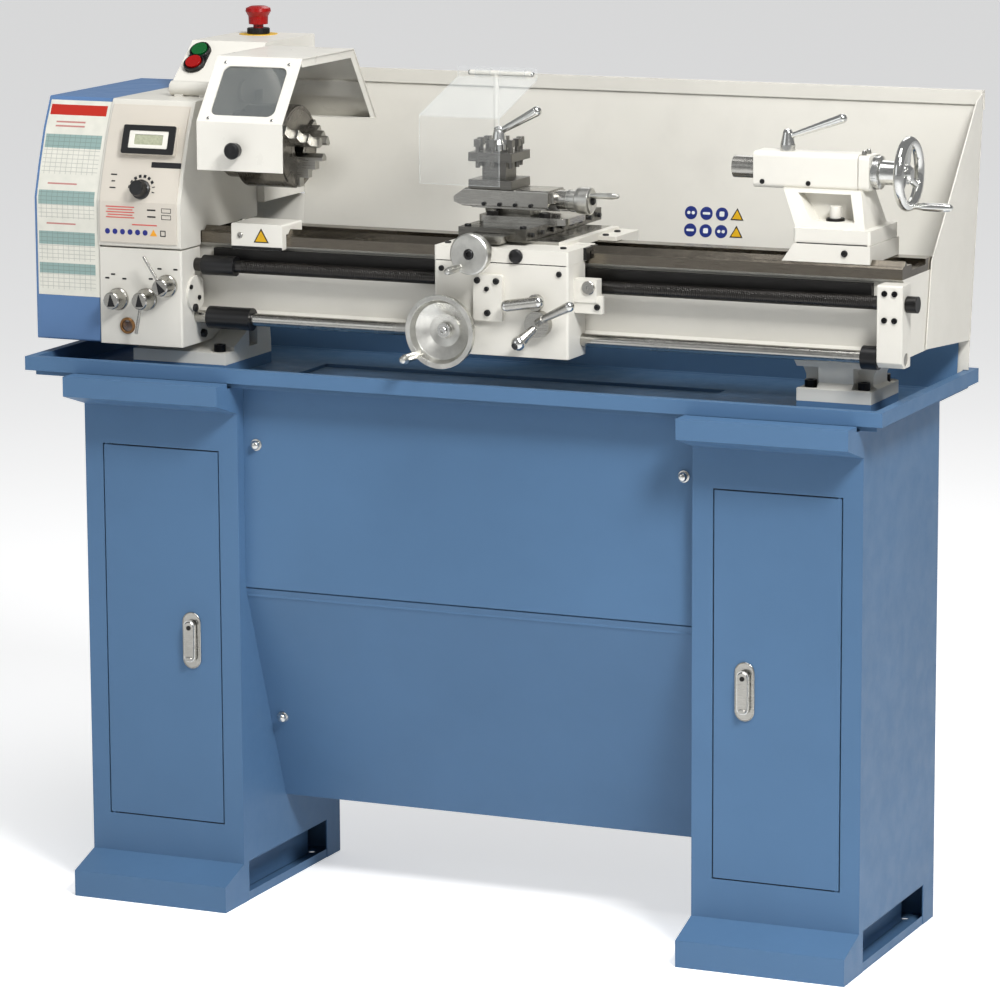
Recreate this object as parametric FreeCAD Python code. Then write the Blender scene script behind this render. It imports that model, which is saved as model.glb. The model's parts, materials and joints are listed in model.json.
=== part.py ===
"""Bench lathe of 250 mm swing by 700 mm between centres, on a two-pedestal cabinet stand.

Frame: +X towards the tailstock, +Y to the back, +Z up, origin on the floor at the centre of the
eight floor anchor holes. Millimetres. One STEP file per sub-part goes to parts/.
"""
import FreeCAD, Part
import math
import os

V = FreeCAD.Vector

# ---------------------------------------------------------------- driving dimensions
# Spindle line and guideways
CENTRE_Y = 8.0
WAY_TOP_Z = 1018.0
CENTRE_HEIGHT = 125.0
SPINDLE_Z = WAY_TOP_Z + CENTRE_HEIGHT
WAY_EDGE_Z = 1000.0
BED_LEFT_X, BED_RIGHT_X = -600.0, 652.0
BED_FRONT_Y, BED_BACK_Y = -59.0, 75.0
BED_BOTTOM_Z = 885.0
VEE_Y, VEE_HALF, VEE_HEIGHT = -45.0, 7.0, 7.0
RIB_PITCH, RIB_TOP_Z = 148, 996.0
BORE_R = 13.0
FOOT_MIDDLE = (-492.0, 547.0)
FOOT_BOLTS = [
    (-431.0, -60.0), (-431.0, 18.0), (-556.0, 62.0), (507.0, -34.0), (588.0, -34.0), (507.0, 54.0),
    (588.0, 54.0)]

# Headstock, feed gearbox and gear cover
HEAD_LEFT_X, HEAD_RIGHT_X = -600.0, -460.0
HEAD_FRONT_Y, HEAD_BACK_Y = -125.0, 128.0
HEAD_TOP_Z, HEAD_SEAM_Z = 1213.0, 996.5
GEARBOX_BOTTOM_Z = 848.5
COVER_LEFT_X, COVER_BACK_Y = -710.0, 229.0
COVER_HINGE = (HEAD_LEFT_X, COVER_BACK_Y)
GEAR_KNOBS = {"left": (-567.0, 917.0), "middle": (-519.0, 919.0), "right": (-484.0, 941.0)}
SPEED_KNOB = (-527.0, 18.8)
HEAD_FACE = [(HEAD_FRONT_Y, 1065.0), (-111.0, 1112.0), (-92.0, 1166.0), (-69.0, HEAD_TOP_Z)]

# Control cabinet behind and over the headstock
CABINET_X = (-575.0, -448.0)
CABINET_TOP_Z, CABINET_BACK_Y = 1284.0, 312.0
DESK_LOW, DESK_HIGH = (60.0, 1214.0), (144.0, CABINET_TOP_Z)
BUTTON_X, START_AT, STOP_AT = -550.0, 82.0, 55.0
STOP_KNOB = (-526.0, 272.0)

# Screws and rods along the bed
ROD_Y = -77.0
LEADSCREW_Z, LEADSCREW_R = 969.0, 10.0
THREAD_ROOT_R, THREAD_X = 9.0, (-380.0, 618.0)
FEED_ROD_Z, FEED_ROD_R = 890.0, 9.5
BRACKET_X = (627.0, 665.0)

# Chuck and its guard
CHUCK_R = 62.5
CHUCK_X = (-408.0, -327.0)
JAW_TIP_X = -285.0
JAW_WIDTH = 14.0
JAW_ANGLES = (30.0, 150.0, 270.0)
GUARD_X = (-419.0, -278.0)
GUARD_OUTLINE = [(-147.0, 1121.0), (-147.0, 1193.0), (-76.0, 1284.0), (100.0, 1284.0), (178.0, 1172.0)]
GUARD_PIVOT = (0.0, 1224.5)
WINDOW_X, WINDOW_RISE = (-401.0, -296.0), (12.0, 98.0)
PIVOT_TUBE_R = 11.3

# Gear train from the spindle to the leadscrew
GEAR_MODULE = 1.5
SPINDLE_TEETH, IDLER_TEETH, SCREW_TEETH = 40, 84, 52
GEAR_X = (-626.0, -614.0)
QUADRANT_BOSS = (-62.0, 1088.0)
MOTOR_Y, MOTOR_Z, MOTOR_R = 196.0, 1106.0, 52.0
MOTOR_PULLEY_R, SPINDLE_PULLEY_R = 20.0, 45.0
PULLEY_X = (-664.0, -642.0)

# Carriage
SADDLE_X = (-42.0, 170.0)
SADDLE_FRONT_Y, SADDLE_BACK_Y = -130.0, 141.0
SADDLE_TOP_Z, APRON_TOP_Z, APRON_BOTTOM_Z = 1030.0, 1004.0, 868.0
CROSS_X = (-20.0, 88.0)
CROSS_Y = (-92.0, 192.0)
CROSS_TOP_Z = 1049.0
CROSS_WHEEL = (35.0, 1021.0)
SWIVEL_X = (-17.0, 126.0)
SWIVEL_TOP_Z = 1059.0
SWIVEL_PIVOT, PIVOT_R = (34.0, 8.0), 12.0
TOP_SLIDE_Z, DOVETAIL_TOP_Z = (1070.0, 1097.0), 1075.0
POST_CENTRE = (2.0, 7.0)
POST_SIDE = 70.0
CARRIAGE_WHEEL = (-19.0, 903.0)
HALF_NUT, FEED_HUB = (126.0, 919.0), (124.0, 951.0)

# Tailstock
TAIL_BARREL_X = (411.0, 586.0)
QUILL_R, QUILL_TIP_X = 16.0, 373.5
TAIL_WHEEL_X = 637.0

# Stand
CAB_INNER, CAB_OUTER = 365.0, 624.0
CAB_FRONT_Y, CAB_BACK_Y = -136.0, 199.0
CAB_TOP_Z, LEDGE_TOP_Z = 798.0, 806.0
FOOT_FRONT_Y, LEDGE_FRONT_Y = -199.0, -202.0
SHEET = 2.0
DOOR_IN, DOOR_OUT = 399.0, 592.0
DOOR_Z = (122.0, 695.0)
DOOR_GAP = 2.0
DOOR_HINGE = (-588.0, CAB_FRONT_Y + 4.0)
LATCH_X, LATCH_Z = 447.0, 405.0
ANCHOR_OUT, ANCHOR_IN, ANCHOR_Y, ANCHOR_R = 590.0, 400.0, 168.0, 6.0
TRAY_X, TRAY_Y = (-709.0, 661.0), (-165.0, 268.0)
TRAY_FLOOR_Z, TRAY_RIM_Z = 800.0, 827.0
FOOT_SEAT_Z = 817.0

# Backsplash
SPLASH_X = (-446.0, 655.0)
SPLASH_BASE, SPLASH_CREASE = (233.0, 801.0), (289.0, 1215.0)
SPLASH_TOP_Z = 1236.0

RUN = 0.05      # radial running clearance of a shaft in its own bore
GAP = 0.5       # clearance between sliding castings


# ---------------------------------------------------------------- shape helpers
def box(x, y, z):
    """Box between the pairs x, y and z."""
    return Part.makeBox(x[1] - x[0], y[1] - y[0], z[1] - z[0], V(x[0], y[0], z[0]))


def rod_x(x, y, z, r):
    """Cylinder along X between the pair x."""
    return Part.makeCylinder(r, x[1] - x[0], V(x[0], y, z), V(1, 0, 0))


def rod_y(x, y, z, r):
    """Cylinder along Y between the pair y."""
    return Part.makeCylinder(r, y[1] - y[0], V(x, y[0], z), V(0, 1, 0))


def rod_z(x, y, z, r):
    """Cylinder along Z between the pair z."""
    return Part.makeCylinder(r, z[1] - z[0], V(x, y, z[0]), V(0, 0, 1))


def prism(points, axis, span):
    """Extrude a closed outline along X, Y or Z between the two values of span.

    The outline's pairs are (y, z), (x, z) or (x, y) for an extrusion along x, y or z.
    """
    place = {
        "x": lambda a, b: V(span[0], a, b),
        "y": lambda a, b: V(a, span[0], b),
        "z": lambda a, b: V(a, b, span[0]),
    }[axis]
    direction = {"x": V(1, 0, 0), "y": V(0, 1, 0), "z": V(0, 0, 1)}[axis]
    corners = [place(a, b) for a, b in points]
    face = Part.Face(Part.makePolygon(corners + corners[:1]))
    return face.extrude(direction * (span[1] - span[0]))


def turned(profile, origin, axis):
    """Revolve (distance along axis, radius) pairs about an axis through origin."""
    wire = Part.makePolygon([V(a, r, 0) for a, r in profile] + [V(*profile[0], 0)])
    solid = Part.Face(wire).revolve(V(0, 0, 0), V(1, 0, 0), 360)
    solid = Part.Solid(solid) if solid.ShapeType != "Solid" else solid
    solid.Placement = FreeCAD.Placement(V(*origin), FreeCAD.Rotation(V(1, 0, 0), V(*axis)))
    return solid


def tapered_rod(start, end, r_start, r_end):
    """Cone or cylinder between two points."""
    axis = V(*end) - V(*start)
    if abs(r_start - r_end) < 1e-6:
        return Part.makeCylinder(r_start, axis.Length, V(*start), axis)
    return Part.makeCone(r_start, r_end, axis.Length, V(*start), axis)


def fuse(*shapes):
    """One solid from overlapping shapes."""
    result = shapes[0]
    for shape in shapes[1:]:
        result = result.fuse(shape)
    return result.removeSplitter()


def cut(shape, *tools):
    """The shape less every tool."""
    for tool in tools:
        shape = shape.cut(tool)
    return shape


def rounded(shape, radius, pick):
    """Fillet the edges that pick(edge) selects."""
    edges = [edge for edge in shape.Edges if pick(edge)]
    return shape.makeFillet(radius, edges) if edges else shape


def along(axis):
    """Edge filter: straight edges parallel to an axis."""
    direction = {"x": V(1, 0, 0), "y": V(0, 1, 0), "z": V(0, 0, 1)}[axis]

    def test(edge):
        if edge.Curve.TypeId != "Part::GeomLine":
            return False
        return abs(abs(edge.tangentAt(edge.FirstParameter).dot(direction)) - 1) < 1e-6

    return test


def mirrored(shape):
    """The same shape on the other side of the stand's middle plane."""
    return shape.mirror(V(0, 0, 0), V(1, 0, 0))


def gear_outline(teeth, phase):
    """Trapezoid-toothed outline about the origin, one tooth centred at the angle phase."""
    pitch_r = GEAR_MODULE * teeth / 2
    step = 2 * math.pi / teeth
    tip_r, root_r = pitch_r + 0.8 * GEAR_MODULE, pitch_r - 1.2 * GEAR_MODULE
    flank = [(root_r, -0.34), (tip_r, -0.12), (tip_r, 0.12), (root_r, 0.34)]
    points = []
    for tooth in range(teeth):
        for radius, part in flank:
            angle = phase + (tooth + part) * step
            points.append((radius * math.cos(angle), radius * math.sin(angle)))
    return points


def gear(teeth, centre, phase, bore_r, x=GEAR_X):
    """Spur gear with its axis along X."""
    points = [(centre[0] + a, centre[1] + b) for a, b in gear_outline(teeth, phase)]
    return prism(points, "x", x).cut(rod_x((x[0] - 1, x[1] + 1), *centre, bore_r))


def crank_handle(base, tip, r_base, r_tip):
    """Turned handle: thin neck, swelling grip, rounded end."""
    length = (V(*tip) - V(*base)).Length
    profile = [
        (0, 0), (0, r_base), (length * 0.12, r_base * 0.8), (length * 0.3, r_tip),
        (length * 0.8, r_tip * 1.08), (length * 0.95, r_tip * 0.8), (length, r_tip * 0.35), (length, 0),
    ]
    return turned(profile, base, tuple(V(*tip) - V(*base)))


# ---------------------------------------------------------------- stand
def left_cabinet():
    """Folded pedestal with its doorway, two hinge lugs, kick space and four floor holes."""
    outline = [
        (FOOT_FRONT_Y, 0), (CAB_BACK_Y, 0), (CAB_BACK_Y, CAB_TOP_Z), (-167, CAB_TOP_Z), (-167, LEDGE_TOP_Z),
        (LEDGE_FRONT_Y, LEDGE_TOP_Z), (LEDGE_FRONT_Y, 776), (CAB_FRONT_Y, 756), (CAB_FRONT_Y, 61),
        (FOOT_FRONT_Y, 40),
    ]
    inner = [
        (FOOT_FRONT_Y + SHEET, SHEET), (CAB_BACK_Y - SHEET, SHEET), (CAB_BACK_Y - SHEET, CAB_TOP_Z - SHEET),
        (-169, CAB_TOP_Z - SHEET), (-169, CAB_TOP_Z + 6), (LEDGE_FRONT_Y + SHEET, CAB_TOP_Z + 6),
        (LEDGE_FRONT_Y + SHEET, 777.4), (CAB_FRONT_Y + SHEET, 757.4), (CAB_FRONT_Y + SHEET, 59.6),
        (FOOT_FRONT_Y + SHEET, 38.6),
    ]
    x = (-CAB_OUTER, -CAB_INNER)
    shell = prism(outline, "x", x).cut(prism(inner, "x", (x[0] + SHEET, x[1] - SHEET)))
    doorway = box(
        (-DOOR_OUT - DOOR_GAP, -DOOR_IN + DOOR_GAP), (CAB_FRONT_Y - 1, CAB_FRONT_Y + 5),
        (DOOR_Z[0] - DOOR_GAP, DOOR_Z[1] + DOOR_GAP))
    kick_space = box((x[0] - 1, x[1] + 1), (-119, 152), (-1, 62.6))
    shell = cut(shell, doorway, kick_space)
    for z in ((DOOR_Z[0] - DOOR_GAP - 4, DOOR_Z[0] - DOOR_GAP),
              (DOOR_Z[1] + DOOR_GAP, DOOR_Z[1] + DOOR_GAP + 4)):
        lug = box((DOOR_HINGE[0] - 6, DOOR_HINGE[0] + 6), (CAB_FRONT_Y + 1, DOOR_HINGE[1] + 6), z)
        shell = shell.fuse(lug).cut(rod_z(*DOOR_HINGE, (z[0] - 1, z[1] + 1), 3 + RUN))
    for at in (-ANCHOR_OUT, -ANCHOR_IN):
        for y in (-ANCHOR_Y, ANCHOR_Y):
            shell = shell.cut(rod_z(at, y, (-1, SHEET + 1), ANCHOR_R))
    return shell


def left_door():
    """Pan-folded door with a pintle at the top and bottom of its hinge side."""
    x, z = (-DOOR_OUT, -DOOR_IN), DOOR_Z
    front = CAB_FRONT_Y
    pan = box(x, (front, front + 15), z)
    hollow = box((x[0] + SHEET, x[1] - SHEET), (front + SHEET, front + 16), (z[0] + SHEET, z[1] - SHEET))
    spindle_hole = rod_y(-LATCH_X, (front - 1, front + 16), LATCH_Z, 8 + RUN)
    pintles = [rod_z(*DOOR_HINGE, span, 3) for span in ((z[0] - 4, z[0] + 28), (z[1] - 28, z[1] + 4))]
    return fuse(cut(pan, hollow, spindle_hole), *pintles)


def left_door_latch():
    """Paddle lever, its spindle through the door, and the cam behind, drawn unlatched."""
    front = CAB_FRONT_Y - 4
    outline = [
        (-LATCH_X - 9, LATCH_Z - 34), (-LATCH_X + 9, LATCH_Z - 34), (-LATCH_X + 9, LATCH_Z + 30),
        (-LATCH_X - 9, LATCH_Z + 30)]
    paddle = rounded(prism(outline, "y", (front - 6, front)), 8.0, along("y"))
    spindle = rod_y(-LATCH_X, (front, CAB_FRONT_Y + 22), LATCH_Z, 8)
    cam = box((-LATCH_X - 8, -LATCH_X + 8), (CAB_FRONT_Y + 18, CAB_FRONT_Y + 21),
              (LATCH_Z - 8, LATCH_Z + 60))
    return fuse(paddle, spindle, cam)


def front_panels():
    """Upright upper panel and the lower panel that leans back to the floor side."""
    x = (-CAB_INNER, CAB_INNER)
    upper = prism([(-115, 488), (-113, 488), (-113, 796), (-115, 796)], "x", x)
    lower = prism([(-115, 486), (10, 137), (22, 137), (22, 139), (12, 139), (-113, 486)], "x", x)
    return [upper, lower]


def chip_tray():
    """Folded tray with a hollow rim, a chip trough between the pedestals, and two riser blocks."""
    lip = 12.0
    x, y = TRAY_X, TRAY_Y
    body = box(x, y, (TRAY_FLOOR_Z - SHEET, TRAY_RIM_Z))

    def ring(a, b, z):
        outer = box((x[0] + a, x[1] - a), (y[0] + a, y[1] - a), z)
        return outer.cut(box((x[0] + b, x[1] - b), (y[0] + b, y[1] - b), z))

    well = box((x[0] + lip + SHEET, x[1] - lip - SHEET), (y[0] + lip + SHEET, y[1] - lip - SHEET),
               (TRAY_FLOOR_Z, TRAY_RIM_Z + 1))
    body = cut(body, well, ring(SHEET, lip, (TRAY_FLOOR_Z - SHEET, TRAY_RIM_Z - SHEET)),
               ring(0, SHEET, (TRAY_FLOOR_Z - SHEET, LEDGE_TOP_Z)))
    trough = box((-330, 330), (-108, 96), (762, TRAY_FLOOR_Z))
    hollow = box((-330 + SHEET, 330 - SHEET), (-108 + SHEET, 96 - SHEET), (762 + SHEET, TRAY_FLOOR_Z + 1))
    body = fuse(body, trough).cut(hollow)
    for span, depth in (((-571, -414), (-75, 78)), ((491, 604), (-50, 70))):
        body = body.fuse(box(span, depth, (TRAY_FLOOR_Z, FOOT_SEAT_Z)))
    return body


# ---------------------------------------------------------------- bed
def vee(clearance, base):
    """Ridge of the front guideway, grown by a clearance, as an outline down to base."""
    rise = VEE_HEIGHT + clearance
    half = VEE_HALF + clearance
    return [(VEE_Y - half, WAY_TOP_Z), (VEE_Y, WAY_TOP_Z + rise), (VEE_Y + half, WAY_TOP_Z),
            (VEE_Y + half, base), (VEE_Y - half, base)]


def bed():
    """Two rails with ribs between them, an end wall, the headstock's seat and both feet."""
    front, back, low = BED_FRONT_Y, BED_BACK_Y, BED_BOTTOM_Z
    front_rail = [
        (front, WAY_EDGE_Z), (front, WAY_TOP_Z - 3), (front + 3, WAY_TOP_Z), (-19, WAY_TOP_Z),
        (-19, WAY_EDGE_Z), (-38, WAY_EDGE_Z - 6), (-38, low + 18), (-28, low + 11), (-28, low),
        (front, low),
        (front, low + 11), (-50, low + 15), (-50, WAY_EDGE_Z - 6),
    ]
    back_rail = [
        (43, WAY_EDGE_Z), (43, WAY_TOP_Z), (back - 2, WAY_TOP_Z), (back, WAY_TOP_Z - 2), (back, WAY_EDGE_Z),
        (66, WAY_EDGE_Z - 6), (66, low + 15), (back, low + 11), (back, low), (44, low), (44, low + 11),
        (54, low + 18), (54, WAY_EDGE_Z - 6),
    ]
    span = (BED_LEFT_X, BED_RIGHT_X)
    rails = [prism(front_rail, "x", span), prism(back_rail, "x", span),
             prism(vee(0, WAY_TOP_Z - 2), "x", (HEAD_RIGHT_X + 2, BED_RIGHT_X))]
    ribs = [box((x, x + 14), (-40, 56), (low + 8, RIB_TOP_Z)) for x in range(-590, 600, RIB_PITCH)]
    end = box((BED_RIGHT_X - 14, BED_RIGHT_X), (-40, 56), (low, 1010))
    seat = box((BED_LEFT_X, HEAD_RIGHT_X), (-25, 50), (1002, WAY_TOP_Z))
    body = fuse(*rails, *ribs, end, seat, left_foot(), right_foot())
    for x, y in FOOT_BOLTS:
        outward = math.copysign(14, x - (FOOT_MIDDLE[0] if x < 0 else FOOT_MIDDLE[1]))
        pocket = box(sorted((x - outward, x + 2.2 * outward)), (y - 14, y + 14), (835, 866))
        body = cut(body, pocket, rod_z(x, y, (FOOT_SEAT_Z - 1, 836), 6 + RUN))
    return body


def left_foot():
    """Foot under the headstock, hollowed for the feed gearbox."""
    outline = [(-75, FOOT_SEAT_Z), (78, FOOT_SEAT_Z), (78, 835), (70, BED_BOTTOM_Z + 2),
               (6, BED_BOTTOM_Z + 2),
               (3, 862), (-60, 835), (-75, 835)]
    gearbox_space = box((-602, HEAD_RIGHT_X + 1), (-130, 1), (GEARBOX_BOTTOM_Z - 1, 890))
    return prism(outline, "x", (-571, -414)).cut(gearbox_space)


def right_foot():
    """Waisted foot under the tailstock end."""
    low = FOOT_SEAT_Z
    front = [(491, low), (604, low), (604, low + 18), (597, low + 22), (597, 852), (606, 872), (628, 887),
             (462, 887), (484, 876), (495, 852), (495, low + 22), (491, low + 18)]
    side = [(-50, low), (70, low), (70, low + 18), (62, low + 26), (62, 887), (-44, 887), (-40, low + 26),
            (-50, low + 18)]
    return prism(front, "y", (-60, 80)).common(prism(side, "x", (450, 640)))


def rack():
    """Rack under the front guideway, teeth facing down."""
    start, pitch, count = -438.0, math.pi * 2.0, 166
    top, root, tip = WAY_EDGE_Z - 7, 974.5, 970.0
    points = [(start, top), (start, root)]
    for tooth in range(count):
        left = start + 1 + tooth * pitch
        points += [(left, root), (left + 1.0, tip), (left + 3.2, tip), (left + 4.2, root)]
    end = start + 2 + count * pitch
    points += [(end, root), (end, top)]
    return prism(points, "y", (-61.5, -50.0))


# ---------------------------------------------------------------- headstock end
def panel_axis(distance, segment=0):
    """Point at a distance up a facet of the headstock's front, and the facet's outward normal."""
    start, end = V(0, *HEAD_FACE[segment]), V(0, *HEAD_FACE[segment + 1])
    slope = (end - start).normalize()
    return start + slope * distance, V(0, -slope.z, slope.y)


def panel_cylinder(x, distance, r, low, high):
    """Cylinder square to the lower facet of the headstock's front."""
    point, normal = panel_axis(distance)
    point.x = x
    return Part.makeCylinder(r, high - low, point + normal * low, normal)


def headstock_outline(grow=0.0):
    """Front face of the headstock and gear cover, from the seam to the top, moved forward by grow."""
    return [(y - grow, z) for y, z in HEAD_FACE]


def headstock_casting():
    """Hollow headstock with its bearing seats, speed knob hole and quadrant boss."""
    outline = [(HEAD_FRONT_Y, HEAD_SEAM_Z)] + headstock_outline() + [
        (HEAD_BACK_Y, HEAD_TOP_Z), (HEAD_BACK_Y, WAY_TOP_Z), (BED_FRONT_Y - 2, WAY_TOP_Z),
        (BED_FRONT_Y - 2, HEAD_SEAM_Z)]
    span = (HEAD_LEFT_X, HEAD_RIGHT_X)
    casting = rounded(prism(outline, "x", span), 3.0, along("x"))
    cavity = box((span[0] + 22, span[1] - 22), (-62, 100), (1060, 1196))
    bores = [rod_x((span[0] - 1, span[1] + 1), CENTRE_Y, SPINDLE_Z, 28)]
    for x in ((span[0] - 1, span[0] + 20), (span[1] - 20, span[1] + 1)):
        bores.append(rod_x(x, CENTRE_Y, SPINDLE_Z, 40))
    knob_hole = panel_cylinder(*SPEED_KNOB, 4 + RUN, -14, 2)
    quadrant_boss = rod_x((span[0] - 10, span[0] + 5), *QUADRANT_BOSS, 9)
    return cut(casting, cavity, *bores, knob_hole).fuse(quadrant_boss)


def spindle_bearings():
    """Front and rear bearings of the spindle."""
    rings = []
    for x in ((HEAD_LEFT_X, HEAD_LEFT_X + 19), (HEAD_RIGHT_X - 19, HEAD_RIGHT_X)):
        ring = rod_x(x, CENTRE_Y, SPINDLE_Z, 39.98).cut(rod_x(x, CENTRE_Y, SPINDLE_Z, 25 + RUN))
        rings.append(ring)
    return rings


def feed_gearbox():
    """Gearbox casing under the headstock with its flange, knob holes and rod bores."""
    x = (HEAD_LEFT_X, HEAD_RIGHT_X)
    front = rounded(box(x, (HEAD_FRONT_Y, BED_FRONT_Y - 3), (GEARBOX_BOTTOM_Z, HEAD_SEAM_Z - 2)), 3.0,
                    along("z"))
    under = box(x, (BED_FRONT_Y - 4, 0), (GEARBOX_BOTTOM_Z, BED_BOTTOM_Z - 1))
    casing = front.fuse(under)
    cavity = box((x[0] + 8, x[1] - 8), (HEAD_FRONT_Y + 8, BED_FRONT_Y - 11), (GEARBOX_BOTTOM_Z + 8, 986))
    flange = rod_x((x[1] - 1, x[1] + 4), -84, 926, 27)
    flange = flange.common(box((x[1] - 1, x[1] + 5), (-120, -62), (890, 960)))
    holes = [rod_x((x[0] - 20, x[1] + 9), ROD_Y, LEADSCREW_Z, LEADSCREW_R + RUN),
             rod_x((x[1] - 20, x[1] + 9), ROD_Y, FEED_ROD_Z, FEED_ROD_R + RUN)]
    wall = (HEAD_FRONT_Y - 1, HEAD_FRONT_Y + 9)
    holes += [rod_y(knob_x, wall, knob_z, 5 + RUN) for knob_x, knob_z in GEAR_KNOBS.values()]
    return cut(casing, cavity).fuse(flange).cut(Part.makeCompound(holes))


def gear_knob(name):
    """Conical selector knob with its shaft into the gearbox; two of them carry a pin lever."""
    x, z = GEAR_KNOBS[name]
    y = HEAD_FRONT_Y
    profile = [(0, 0), (0, 17), (4, 17), (6, 15.5), (24, 13), (26, 11.5), (26, 0)]
    knob = turned(profile, (x, y - 0.5, z), (0, -1, 0))
    shaft = rod_y(x, (y - 1, y + 16), z, 5)
    parts = [knob, shaft]
    if name == "middle":
        parts.append(tapered_rod((x, y - 20, z - 6), (x - 7, y - 24, z - 50), 2.4, 2.4))
    if name == "right":
        parts.append(tapered_rod((x - 4, y - 20, z + 6), (x - 27, y - 24, z + 46), 2.4, 2.4))
    return fuse(*parts)


def control_panel():
    """Panel over the headstock front with the raised speed display."""
    point, normal = panel_axis(43, 2)
    edge = point + normal * 2
    skin = [(HEAD_FRONT_Y, 1003), (HEAD_FRONT_Y - 2, 1003)] + headstock_outline(2.0)[:3]
    skin += [(edge.y, edge.z), (point.y, point.z)] + list(reversed(headstock_outline()[:3]))
    plate = prism(skin, "x", (HEAD_LEFT_X + 4, HEAD_RIGHT_X - 6))
    centre, normal = panel_axis(44, 1)
    tilt = math.degrees(math.atan2(normal.z, -normal.y))
    display = box((-565, -477), (-10, -1), (-22, 22))
    display.rotate(V(0, 0, 0), V(1, 0, 0), -tilt)
    display.translate(centre)
    filled = [(HEAD_FRONT_Y, 990)] + headstock_outline() + [(0, HEAD_TOP_Z), (0, 990)]
    inside = prism(filled, "x", (HEAD_LEFT_X - 1, HEAD_RIGHT_X + 1))
    return plate.fuse(display.cut(inside)).cut(panel_cylinder(*SPEED_KNOB, 4 + RUN, -1, 3))


def speed_knob():
    """Knob square to the panel, with its shaft into the headstock."""
    x, distance = SPEED_KNOB
    point, normal = panel_axis(distance)
    point.x = x
    profile = [(0, 0), (0, 15), (3, 15), (5, 12.5), (17, 11.5), (19, 10), (19, 0)]
    knob = turned(profile, tuple(point + normal * 2.5), tuple(normal))
    return fuse(knob, panel_cylinder(x, distance, 4, -12, 3))


def desk_frame(along_slope, height):
    """Point on the sloping desk of the control cabinet, by distance up the slope and above it."""
    low, high = V(0, *DESK_LOW), V(0, *DESK_HIGH)
    slope = (high - low).normalize()
    normal = V(0, -slope.z, slope.y)
    return low + slope * along_slope + normal * height


def desk_cylinder(at, r, low, high):
    """Cylinder standing on the desk at a distance up the slope."""
    base = desk_frame(at, low)
    top = desk_frame(at, high)
    return Part.makeCylinder(r, high - low, V(BUTTON_X, base.y, base.z), top - base)


def control_cabinet():
    """Sheet cabinet: switch desk over the headstock, electrics and motor space behind it."""
    outline = [DESK_LOW, DESK_HIGH, (CABINET_BACK_Y, CABINET_TOP_Z), (CABINET_BACK_Y, 1040),
               (HEAD_BACK_Y + 2, 1040), (HEAD_BACK_Y + 2, DESK_LOW[1])]
    shell = prism(outline, "x", CABINET_X)
    inner = prism([(66, 1216), (145, 1282), (CABINET_BACK_Y - 2, 1282), (CABINET_BACK_Y - 2, 1042),
                   (HEAD_BACK_Y + 4, 1042), (HEAD_BACK_Y + 4, 1216)], "x",
                   (CABINET_X[0] + 2, CABINET_X[1] - 2))
    escutcheon = fuse(desk_cylinder(START_AT, 17, -1, 3), desk_cylinder(STOP_AT, 17, -1, 3))
    collar = rod_z(*STOP_KNOB, (CABINET_TOP_Z - 1, CABINET_TOP_Z + 10), 17)
    holes = [desk_cylinder(START_AT, 5 + RUN, -10, 5), desk_cylinder(STOP_AT, 5 + RUN, -10, 5),
             rod_z(*STOP_KNOB, (CABINET_TOP_Z - 20, CABINET_TOP_Z + 12), 8 + RUN),
             rod_x((CABINET_X[0] - 1, CABINET_X[0] + 4), MOTOR_Y, MOTOR_Z, 12)]
    return fuse(cut(shell, inner), escutcheon, collar, cover_hinge_arm()).cut(Part.makeCompound(holes))


def cover_hinge_arm():
    """Arm from the cabinet's side to the pin that the gear cover's knuckles turn on."""
    arm = box((COVER_HINGE[0], CABINET_X[0] + 1), (COVER_HINGE[1] - 3, COVER_HINGE[1] + 3), (1095, 1145))
    return fuse(arm, rod_z(*COVER_HINGE, (1092, 1148), 5), rod_z(*COVER_HINGE, (1056, 1184), 3))


def push_button(at):
    """Button cap on its stem."""
    return fuse(desk_cylinder(at, 12.5, 6.5, 10), desk_cylinder(at, 5, -6, 7))


def emergency_stop():
    """Mushroom head on its plunger; it travels down 5 mm."""
    profile = [(0, 0), (0, 15), (12, 15.5), (20, 20), (25, 19), (28, 12), (29, 0)]
    head = turned(profile, (*STOP_KNOB, CABINET_TOP_Z + 16), (0, 0, 1))
    return fuse(head, rod_z(*STOP_KNOB, (CABINET_TOP_Z - 12, CABINET_TOP_Z + 17), 8))


def motor():
    """Motor on its foot, with the shaft through to the gear cover."""
    x = (CABINET_X[0] + 6, CABINET_X[1] - 12)
    body = rod_x(x, MOTOR_Y, MOTOR_Z, MOTOR_R)
    foot = box((x[0] + 15, x[1] - 15), (MOTOR_Y - 35, MOTOR_Y + 35), (1042, MOTOR_Z - 40))
    shaft = rod_x((HEAD_LEFT_X - 70, x[0] + 5), MOTOR_Y, MOTOR_Z, 7)
    return fuse(body, foot, shaft)


def motor_pulley():
    """Grooved pulley running on the motor shaft's end."""
    rim = turned(pulley_profile(MOTOR_PULLEY_R), (PULLEY_X[0], MOTOR_Y, MOTOR_Z), (1, 0, 0))
    return rim.cut(rod_x((PULLEY_X[0] - 1, PULLEY_X[1] + 1), MOTOR_Y, MOTOR_Z, 7 + RUN))


def pulley_profile(r):
    """Flanged pulley as (distance, radius) pairs."""
    width = PULLEY_X[1] - PULLEY_X[0]
    return [(0, 0), (0, r + 2), (2.5, r + 2), (2.5, r), (width - 2.5, r), (width - 2.5, r + 2),
            (width, r + 2),
            (width, 0)]


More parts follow.
